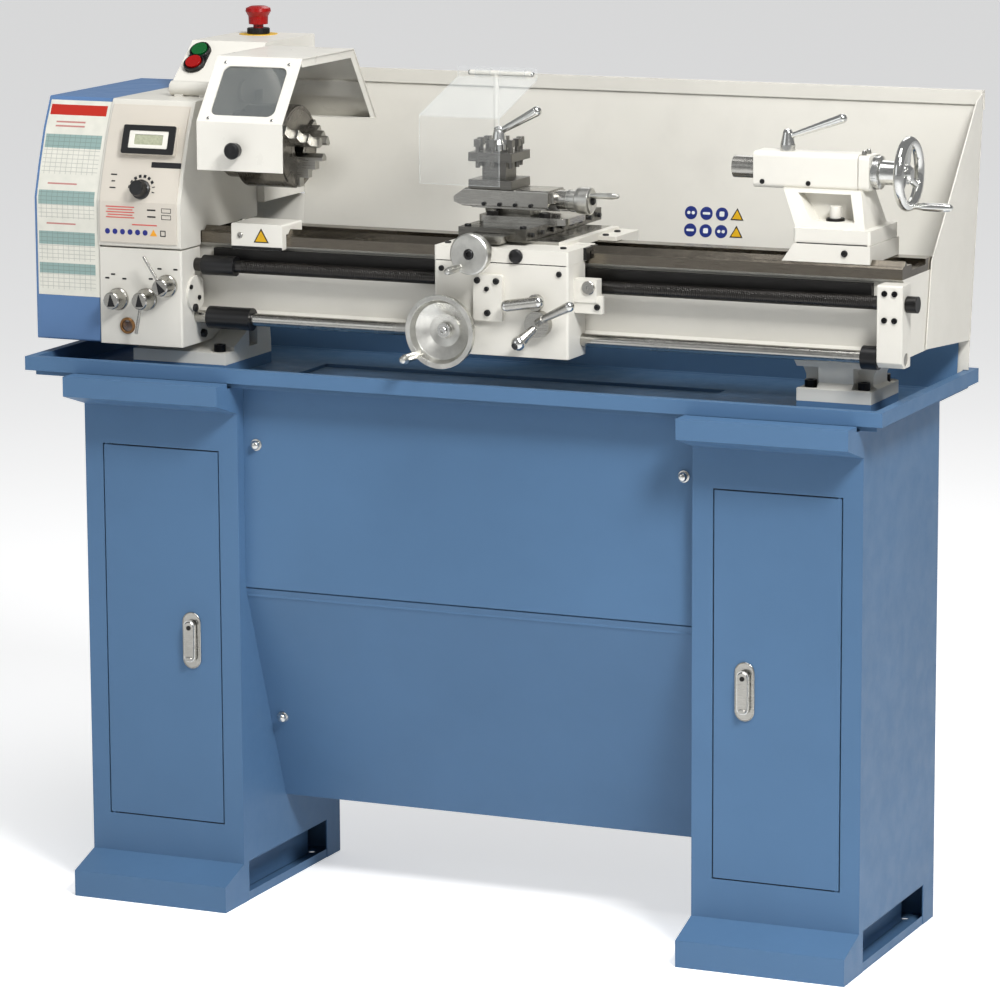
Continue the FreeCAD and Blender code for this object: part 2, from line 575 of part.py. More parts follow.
def drive_belt():
    """Flat poly-vee belt around both pulleys, as an endless loop."""
    small = V(0, MOTOR_Y, MOTOR_Z)
    large = V(0, CENTRE_Y, SPINDLE_Z)
    x = (PULLEY_X[0] + 4, PULLEY_X[1] - 4)

    def hull(extra):
        r1, r2 = MOTOR_PULLEY_R + extra, SPINDLE_PULLEY_R + extra
        line = large - small
        base = math.atan2(line.z, line.y)
        lean = math.acos((r1 - r2) / line.Length)
        points = []
        for centre, r in ((small, r1), (large, r2)):
            for side in (1, -1):
                angle = base + side * lean
                points.append((centre.y + r * math.cos(angle), centre.z + r * math.sin(angle)))
        quad = [points[0], points[2], points[3], points[1]]
        return fuse(prism(quad, "x", x), rod_x(x, small.y, small.z, r1), rod_x(x, large.y, large.z, r2))

    return hull(4.0).cut(hull(RUN))


def idler_centre():
    """Stud place where the idler meshes with both the spindle gear and the leadscrew gear."""
    a = V(0, CENTRE_Y, SPINDLE_Z)
    b = V(0, ROD_Y, LEADSCREW_Z)
    ra = GEAR_MODULE * (SPINDLE_TEETH + IDLER_TEETH) / 2
    rb = GEAR_MODULE * (SCREW_TEETH + IDLER_TEETH) / 2
    line = b - a
    near = (ra * ra - rb * rb + line.Length ** 2) / (2 * line.Length)
    off = math.sqrt(ra * ra - near * near)
    unit = V(line).normalize()
    normal = V(0, -unit.z, unit.y)
    point = a + unit * near + normal * off
    return point.y, point.z


def bearing_angle(start, end):
    """Direction from one centre to another."""
    return math.atan2(end[1] - start[1], end[0] - start[0])


def gear_phases():
    """Tooth phases that put the three gears in mesh at rest."""
    spindle, idler, screw = (CENTRE_Y, SPINDLE_Z), idler_centre(), (ROD_Y, LEADSCREW_Z)
    first = bearing_angle(spindle, idler)
    idler_step = 2 * math.pi / IDLER_TEETH
    idler_phase = first + math.pi + idler_step / 2
    second = bearing_angle(idler, screw)
    ahead = (idler_phase - second) % idler_step
    screw_step = 2 * math.pi / SCREW_TEETH
    screw_phase = second + math.pi - ahead * IDLER_TEETH / SCREW_TEETH + screw_step / 2
    return first, idler_phase, screw_phase


def idler_gear():
    """Idler between the spindle gear and the leadscrew gear."""
    centre = idler_centre()
    wheel = gear(IDLER_TEETH, centre, gear_phases()[1], 8 + RUN)
    hub = rod_x((GEAR_X[0] - 4, GEAR_X[1] + 4), *centre, 15).cut(
        rod_x((GEAR_X[0] - 5, GEAR_X[1] + 5), *centre, 8 + RUN))
    return wheel.fuse(hub)


def change_gear_quadrant():
    """Arm bolted to the headstock's left side, with the stud that carries the idler."""
    cy, cz = idler_centre()
    x = (HEAD_LEFT_X - 8.5, HEAD_LEFT_X - 1.5)
    by, bz = QUADRANT_BOSS
    arm = prism([(by - 10, bz - 13), (by + 10, bz + 13), (cy + 10, cz + 12), (cy - 10, cz - 12)], "x", x)
    arm = fuse(arm, rod_x(x, by, bz, 17), rod_x(x, cy, cz, 16))
    stud = rod_x((GEAR_X[0] - 8, x[1]), cy, cz, 8)
    boss_hole = rod_x((x[0] - 5, x[1] + 5), by, bz, 9 + RUN)
    return fuse(arm, stud).cut(boss_hole)


def gear_cover():
    """Folded cover over the change gears, open towards the headstock, with two hinge knuckles."""
    front = headstock_outline(-3.0)
    outline = [(front[0][0], GEARBOX_BOTTOM_Z + 0.5)] + front + [
        (COVER_BACK_Y, HEAD_TOP_Z), (COVER_BACK_Y, GEARBOX_BOTTOM_Z + 0.5)]
    solid = rounded(prism(outline, "x", (COVER_LEFT_X, HEAD_LEFT_X - 1)), 3.0, along("x"))
    hollow = [(front[0][0] + 2, GEARBOX_BOTTOM_Z + 2.5), (front[0][0] + 2, 1065), (front[1][0] + 2, 1111.6),
              (front[2][0] + 2, 1165), (front[3][0] + 3, HEAD_TOP_Z - 2),
              (COVER_BACK_Y - 2, HEAD_TOP_Z - 2),
              (COVER_BACK_Y - 2, GEARBOX_BOTTOM_Z + 2.5)]
    shell = solid.cut(prism(hollow, "x", (COVER_LEFT_X + 2, HEAD_LEFT_X + 1)))
    arm_space = box((HEAD_LEFT_X - 7, HEAD_LEFT_X), (COVER_BACK_Y - 8, COVER_BACK_Y + 1), (1090, 1150))
    knuckles = [rod_z(*COVER_HINGE, span, 5) for span in ((1060, 1090), (1150, 1180))]
    return fuse(shell.cut(arm_space), *knuckles).cut(rod_z(*COVER_HINGE, (1050, 1190), 3 + RUN))


# ---------------------------------------------------------------- spindle and chuck
def spindle():
    """Hollow spindle with its nose flange, and the pulley and gear keyed to its rear end."""
    shaft = rod_x((-690, -444), CENTRE_Y, SPINDLE_Z, 25)
    flange = rod_x((-448, -437), CENTRE_Y, SPINDLE_Z, 44)
    bore = rod_x((-700, -430), CENTRE_Y, SPINDLE_Z, BORE_R)
    shaft = fuse(shaft, flange).cut(bore)
    pulley = turned(pulley_profile(SPINDLE_PULLEY_R), (PULLEY_X[0], CENTRE_Y, SPINDLE_Z), (1, 0, 0))
    pulley = pulley.cut(rod_x((PULLEY_X[0] - 1, PULLEY_X[1] + 1), CENTRE_Y, SPINDLE_Z, 25))
    wheel = gear(SPINDLE_TEETH, (CENTRE_Y, SPINDLE_Z), gear_phases()[0], 25)
    return [shaft, pulley, wheel]


def chuck_body():
    """Backplate and body of the three-jaw chuck, with its radial jaw slots."""
    start = -437.0
    profile = [(0, 0), (0, 50), (22, 50), (29, CHUCK_R - 2), (31, CHUCK_R), (108, CHUCK_R),
               (110, CHUCK_R - 2),
               (110, 0)]
    body = turned(profile, (start, CENTRE_Y, SPINDLE_Z), (1, 0, 0))
    tools = [rod_x((start - 1, CHUCK_X[1] + 1), CENTRE_Y, SPINDLE_Z, 16)]
    half = JAW_WIDTH / 2 + RUN
    for angle in JAW_ANGLES:
        slot = box((CHUCK_X[1] - 14, CHUCK_X[1] + 1), (0, CHUCK_R + 5), (-half, half))
        slot.rotate(V(0, 0, 0), V(1, 0, 0), angle)
        slot.translate(V(0, CENTRE_Y, SPINDLE_Z))
        tools.append(slot)
        key = Part.makeCylinder(7, 20, V(-368, CENTRE_Y, SPINDLE_Z), V(0, 1, 0))
        key.translate(V(0, CHUCK_R - 14, 0))
        key.rotate(V(-368, CENTRE_Y, SPINDLE_Z), V(1, 0, 0), angle + 60)
        tools.append(key)
    return cut(body, *tools)


def chuck_jaw(angle):
    """Stepped jaw standing in its slot; the outline is (x, radius) from the chuck's face."""
    face = CHUCK_X[1]
    outline = [(face - 13.9, 9), (JAW_TIP_X, 9), (JAW_TIP_X, 20), (JAW_TIP_X - 12, 20),
               (JAW_TIP_X - 12, 33),
               (JAW_TIP_X - 24, 33), (JAW_TIP_X - 24, 46), (face + 4, 46), (face + 4, 60),
               (face - 13.9, 60)]
    points = [(x, CENTRE_Y + r) for x, r in outline]
    half = JAW_WIDTH / 2
    jaw = prism(points, "z", (SPINDLE_Z - half, SPINDLE_Z + half))
    nose = prism([(CENTRE_Y + 9, SPINDLE_Z - half), (CENTRE_Y + 9, SPINDLE_Z - 2),
                  (CENTRE_Y + 15, SPINDLE_Z - half)],
                 "x", (face - 20, JAW_TIP_X + 1))
    other = prism([(CENTRE_Y + 9, SPINDLE_Z + half), (CENTRE_Y + 15, SPINDLE_Z + half),
                   (CENTRE_Y + 9, SPINDLE_Z + 2)],
                  "x", (face - 20, JAW_TIP_X + 1))
    jaw = cut(jaw, nose, other)
    jaw.rotate(V(0, CENTRE_Y, SPINDLE_Z), V(1, 0, 0), angle)
    return jaw


def guard_pivot_tube():
    """Tube on top of the headstock that the chuck guard swings in."""
    x = (-536, GUARD_X[0] - 2)
    tube = rod_x(x, *GUARD_PIVOT, PIVOT_TUBE_R).cut(rod_x((x[0] + 12, x[1] + 1), *GUARD_PIVOT, 7 + RUN))
    feet = [box((at, at + 14), (GUARD_PIVOT[0] - 9, GUARD_PIVOT[0] + 9), (HEAD_TOP_Z, GUARD_PIVOT[1] - 8))
            for at in (-528, -486)]
    return fuse(tube, *feet)


def turned_about_pivot(angle):
    """Spindle centre as the hood sees it when the hood has opened by an angle in degrees."""
    y, z = CENTRE_Y - GUARD_PIVOT[0], SPINDLE_Z - GUARD_PIVOT[1]
    c, s = math.cos(math.radians(angle)), math.sin(math.radians(angle))
    return GUARD_PIVOT[0] + y * c - z * s, GUARD_PIVOT[1] + y * s + z * c


def on_guard_slope(shape):
    """Moves a shape drawn upright at the origin onto the hood's sloping front sheet."""
    fold, top = V(0, *GUARD_OUTLINE[1]), V(0, *GUARD_OUTLINE[2])
    rise = top - fold
    shape.rotate(V(0, 0, 0), V(1, 0, 0), -math.degrees(math.atan2(rise.y, rise.z)))
    shape.translate(fold)
    return shape


def guard_window():
    """Clear pane behind the opening in the hood's front."""
    pane = box((WINDOW_X[0] - 8, WINDOW_X[1] + 8), (2.2, 4.2), (WINDOW_RISE[0] - 6, WINDOW_RISE[1] + 7))
    return on_guard_slope(pane)


def chuck_guard():
    """Folded hood, open to the right and below, with its side plate, pivot pin, opening and knob."""
    low, fold = GUARD_OUTLINE[0], GUARD_OUTLINE[1]
    left, right = GUARD_X
    outer = prism(GUARD_OUTLINE + [(178, 1121)], "x", GUARD_X)
    inner = [
        (low[0] + 2, 1100), (fold[0] + 2, fold[1] - 0.8), (-75, 1282), (99, 1282), (176.5, 1171),
        (190, 1130),
        (190, 1100)]
    sheet = outer.cut(prism(inner, "x", (left + 2, right + 1)))
    angles = range(0, 61, 10)
    swept = [rod_x((left - 1, left + 3), *turned_about_pivot(angle), CHUCK_R + 2) for angle in angles]
    below = prism([(-140, 1100), (-140, 1150), (-40, 1172), (200, 1172), (200, 1100)], "x",
                  (left - 1, right + 1))
    keep_front = prism([(-150, 1100), (-143, 1100), (-143, 1200), (-150, 1200)], "x", GUARD_X)
    opening = on_guard_slope(rounded(box(WINDOW_X, (-6, 8), WINDOW_RISE), 12.0, along("y")))
    pin = rod_x((left - 40, left + 1), *GUARD_PIVOT, 7)
    hub = rod_x((left + 1, left + 8), *GUARD_PIVOT, 16)
    knob_profile = [(0, 0), (0, 5), (6, 5), (8, 11), (20, 12.5), (24, 10), (25, 0)]
    knob = turned(knob_profile, (-352, low[0] + 1, 1153), (0, -1, 0))
    return fuse(cut(sheet, *swept, below.cut(keep_front), opening), pin, hub, knob)


# ---------------------------------------------------------------- leadscrew, feed rod and bracket
def leadscrew():
    """Leadscrew with its change gear at the left, coupling sleeve, thread root and end nut."""
    centre = (ROD_Y, LEADSCREW_Z)
    screw = fuse(rod_x((GEAR_X[0] - 6, THREAD_X[0]), *centre, LEADSCREW_R),
                 rod_x(THREAD_X, *centre, THREAD_ROOT_R),
                 rod_x((THREAD_X[1], 672), *centre, LEADSCREW_R))
    sleeve = rod_x((-446, -392), *centre, 15)
    nut = rod_x((666, 682), *centre, 12)
    wheel = gear(SCREW_TEETH, centre, gear_phases()[2], LEADSCREW_R - 1)
    return fuse(screw, sleeve, nut, wheel)


def feed_rod():
    """Plain feed rod with a sleeve by the gearbox and a collar by the bracket."""
    centre = (ROD_Y, FEED_ROD_Z)
    return fuse(rod_x((HEAD_RIGHT_X - 12, 664), *centre, FEED_ROD_R), rod_x((-438, -366), *centre, 17),
                rod_x((601, 625), *centre, 17))


def leadscrew_bracket():
    """Bracket at the bed's right end with bores for the leadscrew and feed rod."""
    back = BED_FRONT_Y
    outline = [(-94.4, 886), (-86, 878), (back, 878), (back, 996.6), (-94.4, 996.6)]
    block = rounded(prism(outline, "x", BRACKET_X), 3.0, along("x"))
    return cut(block, rod_x((600, 700), ROD_Y, LEADSCREW_Z, LEADSCREW_R + RUN),
               rod_x((600, 700), ROD_Y, FEED_ROD_Z, FEED_ROD_R + RUN))


def cap_screw(base, axis, r=5.0, height=5.0):
    """Socket head screw head standing on a face."""
    head = Part.makeCylinder(r, height, V(*base), V(*axis))
    socket = Part.makeCylinder(r * 0.5, height * 0.6, V(*base) + V(*axis) * (height * 0.5), V(*axis))
    return head.cut(socket)


def machine_screws():
    """Screw heads that stand on the fixed castings and panels, and the foot bolts."""
    screws = []
    for x, z in ((638, 985), (653, 985), (638, 947), (653, 947)):
        screws.append(cap_screw((x, -94.4, z), (0, -1, 0), 4.2, 2.0))
    for y, z in ((-104, 938), (-78, 919)):
        screws.append(cap_screw((HEAD_RIGHT_X + 4, y, z), (1, 0, 0), 3.5, 2.5))
    for x in (-344, 344):
        screws.append(cap_screw((x, -115, 707), (0, -1, 0), 7.0, 6.0))
        screws.append(cap_screw((x, -38.8, 272.4), (0, -0.9414, -0.3372), 7.0, 6.0))
    for x, y in FOOT_BOLTS:
        shank = rod_z(x, y, (FOOT_SEAT_Z, 835.5), 6)
        screws.append(shank.fuse(cap_screw((x, y, 835.2), (0, 0, 1), 9.0, 11.0)))
    return screws


def limit_switch_box():
    """Small box clamped over the front guideway beside the headstock."""
    body = rounded(box((-402, -317), (-73, -6), (995, 1034)), 3.0, along("y"))
    way = prism([(BED_FRONT_Y - GAP, 990), (BED_FRONT_Y - GAP, WAY_TOP_Z + GAP), (10, WAY_TOP_Z + GAP),
                 (10, 990)],
                "x", (-410, -300))
    ridge = prism(vee(GAP, 1000), "x", (-410, -300))
    dome = turned([(0, 0), (0, 7), (4, 7), (8, 5), (10, 0)], (-402, -32, 1028), (-1, 0, 0))
    return cut(body, way, ridge).fuse(dome)


# ---------------------------------------------------------------- carriage
def dovetail(x, top, base, shrink=0.0):
    """Male dovetail outline about an X span, wider at the top."""
    flare = (top - base) * 0.577
    return [(x[0] + flare + shrink, base), (x[0] + shrink, top), (x[1] - shrink, top),
            (x[1] - flare - shrink, base)]


def saddle():
    """Saddle on the guideways, with the cross slide's dovetail and a wiper."""
    front = box(SADDLE_X, (SADDLE_FRONT_Y, -26), (APRON_TOP_Z, SADDLE_TOP_Z - 5))
    bridge = box((SADDLE_X[0] + 10, SADDLE_X[1] - 28), (-70, SADDLE_BACK_Y - 10),
                 (APRON_TOP_Z, SADDLE_TOP_Z))
    rear = box(SADDLE_X, (52, SADDLE_BACK_Y), (APRON_TOP_Z - 12, SADDLE_TOP_Z - 5))
    tail = prism(dovetail((CROSS_X[0] + 24, CROSS_X[1] - 24), CROSS_TOP_Z - 8, SADDLE_TOP_Z - 1), "y",
                 (-118, SADDLE_BACK_Y - 10))
    body = fuse(rounded(front, 3.0, along("z")), bridge, rounded(rear, 3.0, along("z")), tail)
    guide = [(BED_FRONT_Y - GAP, 980), (BED_FRONT_Y - GAP, WAY_TOP_Z + GAP),
             (BED_BACK_Y + GAP, WAY_TOP_Z + GAP),
             (BED_BACK_Y + GAP, 980)]
    tools = [prism(guide, "x", (-60, 200)), prism(vee(GAP, 1000), "x", (-60, 200)),
             rod_y(CROSS_WHEEL[0], (-140, -60), CROSS_WHEEL[1], 6 + RUN)]
    wiper = box((SADDLE_X[1] - 1, SADDLE_X[1] + 5), (-74, -30), (1006.5, 1024))
    wiper = wiper.cut(Part.makeCompound(tools[:2]))
    return cut(body, *tools).fuse(wiper)


def apron():
    """Apron casing, with the boss pad, thread dial body and bored for both rods."""
    back = BED_FRONT_Y - 4.5
    x = SADDLE_X
    casing = rounded(box(x, (SADDLE_FRONT_Y, back), (APRON_BOTTOM_Z, APRON_TOP_Z)), 4.0, along("z"))
    cavity = box((x[0] + 8, x[1] - 8), (SADDLE_FRONT_Y + 10, back - 6),
                 (APRON_BOTTOM_Z + 8, APRON_TOP_Z - 8))
    pad = rounded(box((23, 69), (SADDLE_FRONT_Y - 7, SADDLE_FRONT_Y + 1), (919, 987)), 4.0, along("y"))
    dial = box((x[1] - 1, 206), (-110, -91), (950, 984))
    plate = box((x[1] - 1, 214), (-108, -100), (934, 960))
    bores = [rod_x((-60, 240), ROD_Y, LEADSCREW_Z, LEADSCREW_R + 0.3),
             rod_x((-60, 240), ROD_Y, FEED_ROD_Z, FEED_ROD_R + 0.3),
             rod_y(*swap(CARRIAGE_WHEEL, (-140, -110)), 8 + RUN),
             rod_y(*swap(HALF_NUT, (-140, -110)), 7 + RUN),
             rod_y(*swap(FEED_HUB, (-140, -110)), 7 + RUN)]
    rack_space = box((-60, 180), (-63, -40), (960, 1002))
    return cut(fuse(casing.cut(cavity), pad, dial, plate), *bores, rack_space)


def swap(centre, y):
    """Arguments of rod_y for a centre given as (x, z)."""
    return centre[0], y, centre[1]


def carriage_handwheel():
    """Dished handwheel with a crank handle on its rim."""
    x, z = CARRIAGE_WHEEL
    profile = [(0, 0), (0, 16), (8, 17), (10, 28), (20, 44), (26, 46), (26, 54), (34, 54), (34, 47),
               (24, 42),
               (14, 24), (12, 12), (18, 11), (18, 0)]
    wheel = turned(profile, (x, SADDLE_FRONT_Y - 1, z), (0, -1, 0))
    shaft = rod_y(x, (SADDLE_FRONT_Y - 3, -112), z, 8)
    y = SADDLE_FRONT_Y
    handle = crank_handle((x - 33, y - 30, z - 35), (x - 41, y - 78, z - 38), 6, 6.5)
    return fuse(wheel, shaft, handle)


def half_nut_lever():
    """Hub disc with a long handle up to the right and a short ball arm down to the left."""
    x, z = HALF_NUT
    y = SADDLE_FRONT_Y
    hub = rod_y(x, (y - 14, y - 0.5), z, 19)
    shaft = rod_y(x, (y - 2, -112), z, 7)
    arm = tapered_rod((x + 14, y - 22, z + 10), (x + 62, y - 38, z + 33), 5.0, 7.5)
    root = tapered_rod((x + 2, y - 12, z + 3), (x + 16, y - 23, z + 11), 6.0, 6.0)
    stub = tapered_rod((x - 4, y - 10, z - 6), (x - 22, y - 26, z - 26), 6.0, 9.5)
    return fuse(hub, shaft, arm, root, stub)


def feed_lever():
    """Selector lever: hub disc with a plain cylinder grip to the left."""
    x, z = FEED_HUB
    y = SADDLE_FRONT_Y
    hub = rod_y(x, (y - 15, y - 8), z, 12)
    shaft = rod_y(x, (y - 12, -112), z, 7)
    grip = tapered_rod((x + 8, y - 20, z + 2), (x - 42, y - 20, z - 6), 8.5, 8.5)
    neck = rod_y(x, (y - 22, y - 7), z, 6)
    return fuse(hub, shaft, grip, neck)


def cross_slide():
    """Cross slide with its dovetail, gib screws and two clamping slots."""
    plate = box(CROSS_X, CROSS_Y, (SADDLE_TOP_Z + GAP, CROSS_TOP_Z))
    inner = (CROSS_X[0] + 24 - GAP, CROSS_X[1] - 24 + GAP)
    slot = prism(dovetail(inner, CROSS_TOP_Z - 8 + GAP, SADDLE_TOP_Z - 1), "y",
                 (CROSS_Y[0] - 1, CROSS_Y[1] + 1))
    body = plate.cut(slot)
    for y in (136, 164):
        body = body.cut(box((CROSS_X[0] - 1, CROSS_X[1] + 1), (y - 4, y + 4),
                            (CROSS_TOP_Z - 7, CROSS_TOP_Z + 1)))
    spigot_bore = rod_z(*SWIVEL_PIVOT, (CROSS_TOP_Z - 5.5, CROSS_TOP_Z + 1), PIVOT_R + RUN)
    screws = [rod_x((CROSS_X[1] - 4, CROSS_X[1] + 5), y, 1039, 3.5) for y in range(-74, 180, 36)]
    return body.cut(spigot_bore).fuse(Part.makeCompound(screws))


def cross_slide_handwheel():
    """Dial, disc wheel, crank handle and the screw's journal in the saddle."""
    x, z = CROSS_WHEEL
    y = SADDLE_FRONT_Y
    profile = [(0, 0), (0, 16), (26, 17), (28, 19), (30, 29), (36, 30), (46, 30), (48, 28), (48, 8),
               (44, 7), (44, 0)]
    wheel = turned(profile, (x, y - 1, z), (0, -1, 0))
    shaft = rod_y(x, (y - 3, -66), z, 6)
    handle = crank_handle((x - 14, y - 46, z - 19), (x - 20, y - 84, z - 22), 5, 5.5)
    return fuse(wheel, shaft, handle)


def top_dovetail(low, high, clearance):
    """Outline of the swivel base's dovetail between two heights, grown by a clearance."""
    half = [18 + (z - SWIVEL_TOP_Z + 1) * 0.353 + clearance for z in (low, high)]
    return [(CENTRE_Y - half[0], low), (CENTRE_Y - half[1], high), (CENTRE_Y + half[1], high),
            (CENTRE_Y + half[0], low)]


def compound_base():
    """Swivel base of the top slide: plate on a round spigot, male dovetail and two clamping studs."""
    plate = rounded(box(SWIVEL_X, (-34, 50), (CROSS_TOP_Z, SWIVEL_TOP_Z)), 14.0, along("z"))
    spigot = rod_z(*SWIVEL_PIVOT, (CROSS_TOP_Z - 5, CROSS_TOP_Z + 1), PIVOT_R)
    tail = prism(top_dovetail(SWIVEL_TOP_Z - 1, DOVETAIL_TOP_Z, 0), "x", (-12, 60))
    studs = [rod_z(sx, -26, (SWIVEL_TOP_Z - 1, SWIVEL_TOP_Z + 8), 5) for sx in (6, 90)]
    return fuse(plate, spigot, tail, *studs)


def top_slide():
    """Top slide over the dovetail, with the tool post stud and the screw's end block."""
    low, high = TOP_SLIDE_Z
    body = prism([(-59, low + 6), (-59, low + 14), (-40, high), (92, high), (92, low), (-44, low)], "y",
                 (-22, 38))
    body = rounded(body, 3.0, along("x"))
    slot = prism(top_dovetail(low - 1, DOVETAIL_TOP_Z + GAP, 0.6), "x", (-70, 93))
    skirt = box((-30, 88), (33, 38), (SWIVEL_TOP_Z + 2, low + 1))
    gib = box((-30, 88), (-22, -17.8), (SWIVEL_TOP_Z + 9.5, low + 1))
    end = box((91, 98), (-14, 30), (SWIVEL_TOP_Z + 19, high - 2))
    barrel = rod_x((97, 112), CENTRE_Y, 1082, 14)
    stud = rod_z(*POST_CENTRE, (high - 1, 1182), 8)
    screw_hole = rod_x((80, 120), CENTRE_Y, 1082, 5 + RUN)
    return cut(fuse(body, skirt, gib, end, barrel, stud), slot, screw_hole)


def top_slide_handwheel():
    """Dial, wheel and crank handle of the top slide."""
    x, y, z = 112.5, CENTRE_Y, 1082.0
    profile = [(0, 0), (0, 15), (14, 15), (16, 19), (22, 20), (36, 20), (38, 17), (38, 0)]
    wheel = turned(profile, (x, y, z), (1, 0, 0))
    shaft = rod_x((x - 26, x + 2), y, z, 5)
    handle = crank_handle((x + 34, y - 9, z + 9), (x + 84, y - 9, z + 10), 4, 4.5)
    return fuse(wheel, shaft, handle)


def tool_post():
    """Four-way tool post with its clamping screws."""
    cx, cy = POST_CENTRE
    half = POST_SIDE / 2
    low = TOP_SLIDE_Z[1] + 0.3

    def slab(z, inset_by):
        return box((cx - half + inset_by, cx + half - inset_by),
                   (cy - half + inset_by, cy + half - inset_by), z)

    block = fuse(rounded(slab((low, low + 13), 0), 2.0, along("z")), slab((low + 12, low + 41), 16),
                 rounded(slab((low + 40, low + 53), 0), 2.0, along("z")))
    screws = []
    for side in range(4):
        for offset in (-22, 2):
            post = rod_z(cx + offset, cy - half + 7, (low + 30, low + 66), 3.5)
            head = box((cx + offset - 4.5, cx + offset + 4.5), (cy - half + 2.5, cy - half + 11.5),
                       (low + 61, low + 72))
            screw = post.fuse(head)
            screw.rotate(V(cx, cy, 0), V(0, 0, 1), 90 * side)
            screws.append(screw)
    body = block.fuse(Part.makeCompound(screws))
    return body.cut(rod_z(cx, cy, (low - 1, low + 80), 8 + RUN))


def tool_post_lever():
    """Clamp nut with its tapered lever."""
    cx, cy = POST_CENTRE
    low = TOP_SLIDE_Z[1] + 53.8
    nut = turned([(0, 0), (0, 15), (10, 15), (16, 11), (26, 9), (34, 7), (36, 0)], (cx, cy, low), (0, 0, 1))
    nut = nut.cut(rod_z(cx, cy, (low - 1, 1182.5), 8 + RUN))
    lever = tapered_rod((cx + 2, cy, low + 28), (cx + 62, cy - 4, low + 60), 4.5, 7.5)
    return fuse(nut, lever.cut(rod_z(cx, cy, (low - 1, 1182.5), 8 + RUN)))


def shield_arm():
    """Bent rod on the cross slide's rear that carries the clear shield."""
    x, y = -38.0, 88.0
    foot = box((x - 8, CROSS_X[0]), (y - 9, y + 9), (1033, 1047))
    return fuse(foot, rod_z(x, y, (1046, 1256), 4), rod_x((-80, 20), y, 1256, 4))


def tool_shield():
    """Clear chip shield: upright front sheet, sloping roof and a short hem, on two sleeves."""
    outline = [(-60, 1105), (-57, 1105), (-57, 1204), (82, 1248), (82, 1266), (79, 1266), (79, 1250.4),
               (-60, 1206.4)]
    sheet = prism(outline, "x", (-97, 31))
    sleeves = [rod_x(x, 88, 1256, 6.9) for x in ((-70, -46), (-30, 10))]
    return fuse(sheet, *sleeves).cut(rod_x((-100, 40), 88, 1256, 4 + RUN))


# ---------------------------------------------------------------- tailstock
def tailstock_body():
    """Upper casting with the quill barrel and web, and the base that runs on the guideways."""
    z0 = SPINDLE_Z
    barrel = rounded(box((TAIL_BARREL_X[0], 569), (CENTRE_Y - 26, CENTRE_Y + 26), (z0 - 26, z0 + 26)),
                     7.0, along("x"))
    cap = rounded(box((570, TAIL_BARREL_X[1]), (CENTRE_Y - 25, CENTRE_Y + 25), (z0 - 25, z0 + 25)),
                  6.0, along("x"))
    neck = box((566, 572), (CENTRE_Y - 22, CENTRE_Y + 22), (z0 - 22, z0 + 22))
    web = prism([(458, z0 - 24), (576, z0 - 24), (590, 1062), (486, 1062)], "y", (-22, 38))
    spread = prism([(-20, z0 - 20), (36, z0 - 20), (56, 1062), (-42, 1062)], "x", (440, 610))
    wide = prism([(458, z0 - 24), (576, z0 - 24), (590, 1062), (486, 1062)], "y", (-60, 80)).common(spread)
    pocket = prism([(482, z0 - 30), (561, z0 - 30), (572, 1075), (508, 1075)], "y", (-50, -6))
    deck = rounded(box((485, 601), (-52, 68), (1045, 1066)), 4.0, along("z"))
    upper = fuse(barrel, neck, cap, web, wide, deck).cut(pocket)
    clamp = fuse(rod_z(538, -22, (1070, 1096), 8).fuse(box((514, 564), (-30, -14), (1066, 1074))))
    holes = [rod_x((TAIL_BARREL_X[0] - 1, 590), CENTRE_Y, z0, QUILL_R + RUN),
             rod_z(454, CENTRE_Y, (z0, z0 + 40), 6 + RUN)]
    upper = cut(upper.fuse(clamp), *holes)
    base = prism([(469, WAY_TOP_Z + GAP), (602, WAY_TOP_Z + GAP), (602, 1044.6), (487, 1044.6)], "y",
                 (-55, 71))
    base = base.cut(prism(vee(GAP, 1000), "x", (440, 620)))
    tongue = box((500, 590), (-17, 41), (RIB_TOP_Z + 2, WAY_TOP_Z + 2))
    return [upper, fuse(base, tongue)]


def quill():
    """Quill with its Morse taper socket, resting 38 mm out of the barrel."""
    body = rod_x((QUILL_TIP_X, 545), CENTRE_Y, SPINDLE_Z, QUILL_R)
    taper = Part.makeCone(8.9, 7.5, 64, V(QUILL_TIP_X, CENTRE_Y, SPINDLE_Z), V(1, 0, 0))
    screw_bore = rod_x((QUILL_TIP_X + 60, 546), CENTRE_Y, SPINDLE_Z, 6.2)
    return cut(body, taper, screw_bore)


def tailstock_handwheel():
    """Rimmed wheel with hub, spokes, crank handle and the quill screw."""
    x, y, z = TAIL_WHEEL_X, CENTRE_Y, SPINDLE_Z
    hub = turned([(0, 0), (0, 24), (10, 24), (12, 18), (34, 17), (44, 15), (50, 15), (50, 0)],
                 (586.5, y, z), (1, 0, 0))
    rim = Part.makeTorus(46, 7.5, V(x, y, z), V(1, 0, 0))
    spokes = [tapered_rod((x - 6, y, z), (x, y + 44 * math.cos(a), z + 44 * math.sin(a)), 6, 5)
              for a in (math.radians(90), math.radians(210), math.radians(330))]
    screw = rod_x((470, 590), y, z, 6)
    handle = crank_handle((x + 4, y, z - 46), (x + 66, y, z - 46), 5, 6)
    return fuse(hub, rim, *spokes, screw, handle)


def quill_lock_lever():
    """Lock post with its lever."""
    x, y, z = 454.0, CENTRE_Y, SPINDLE_Z + 26.3
    post = turned([(0, 0), (0, 11), (8, 11), (26, 7), (30, 5), (31, 0)], (x, y, z), (0, 0, 1))
    lever = tapered_rod((x + 3, y, z + 20), (x + 84, y - 4, z + 49), 3.8, 6.8)
    return fuse(post, lever, rod_z(x, y, (z - 9, z + 1), 6))


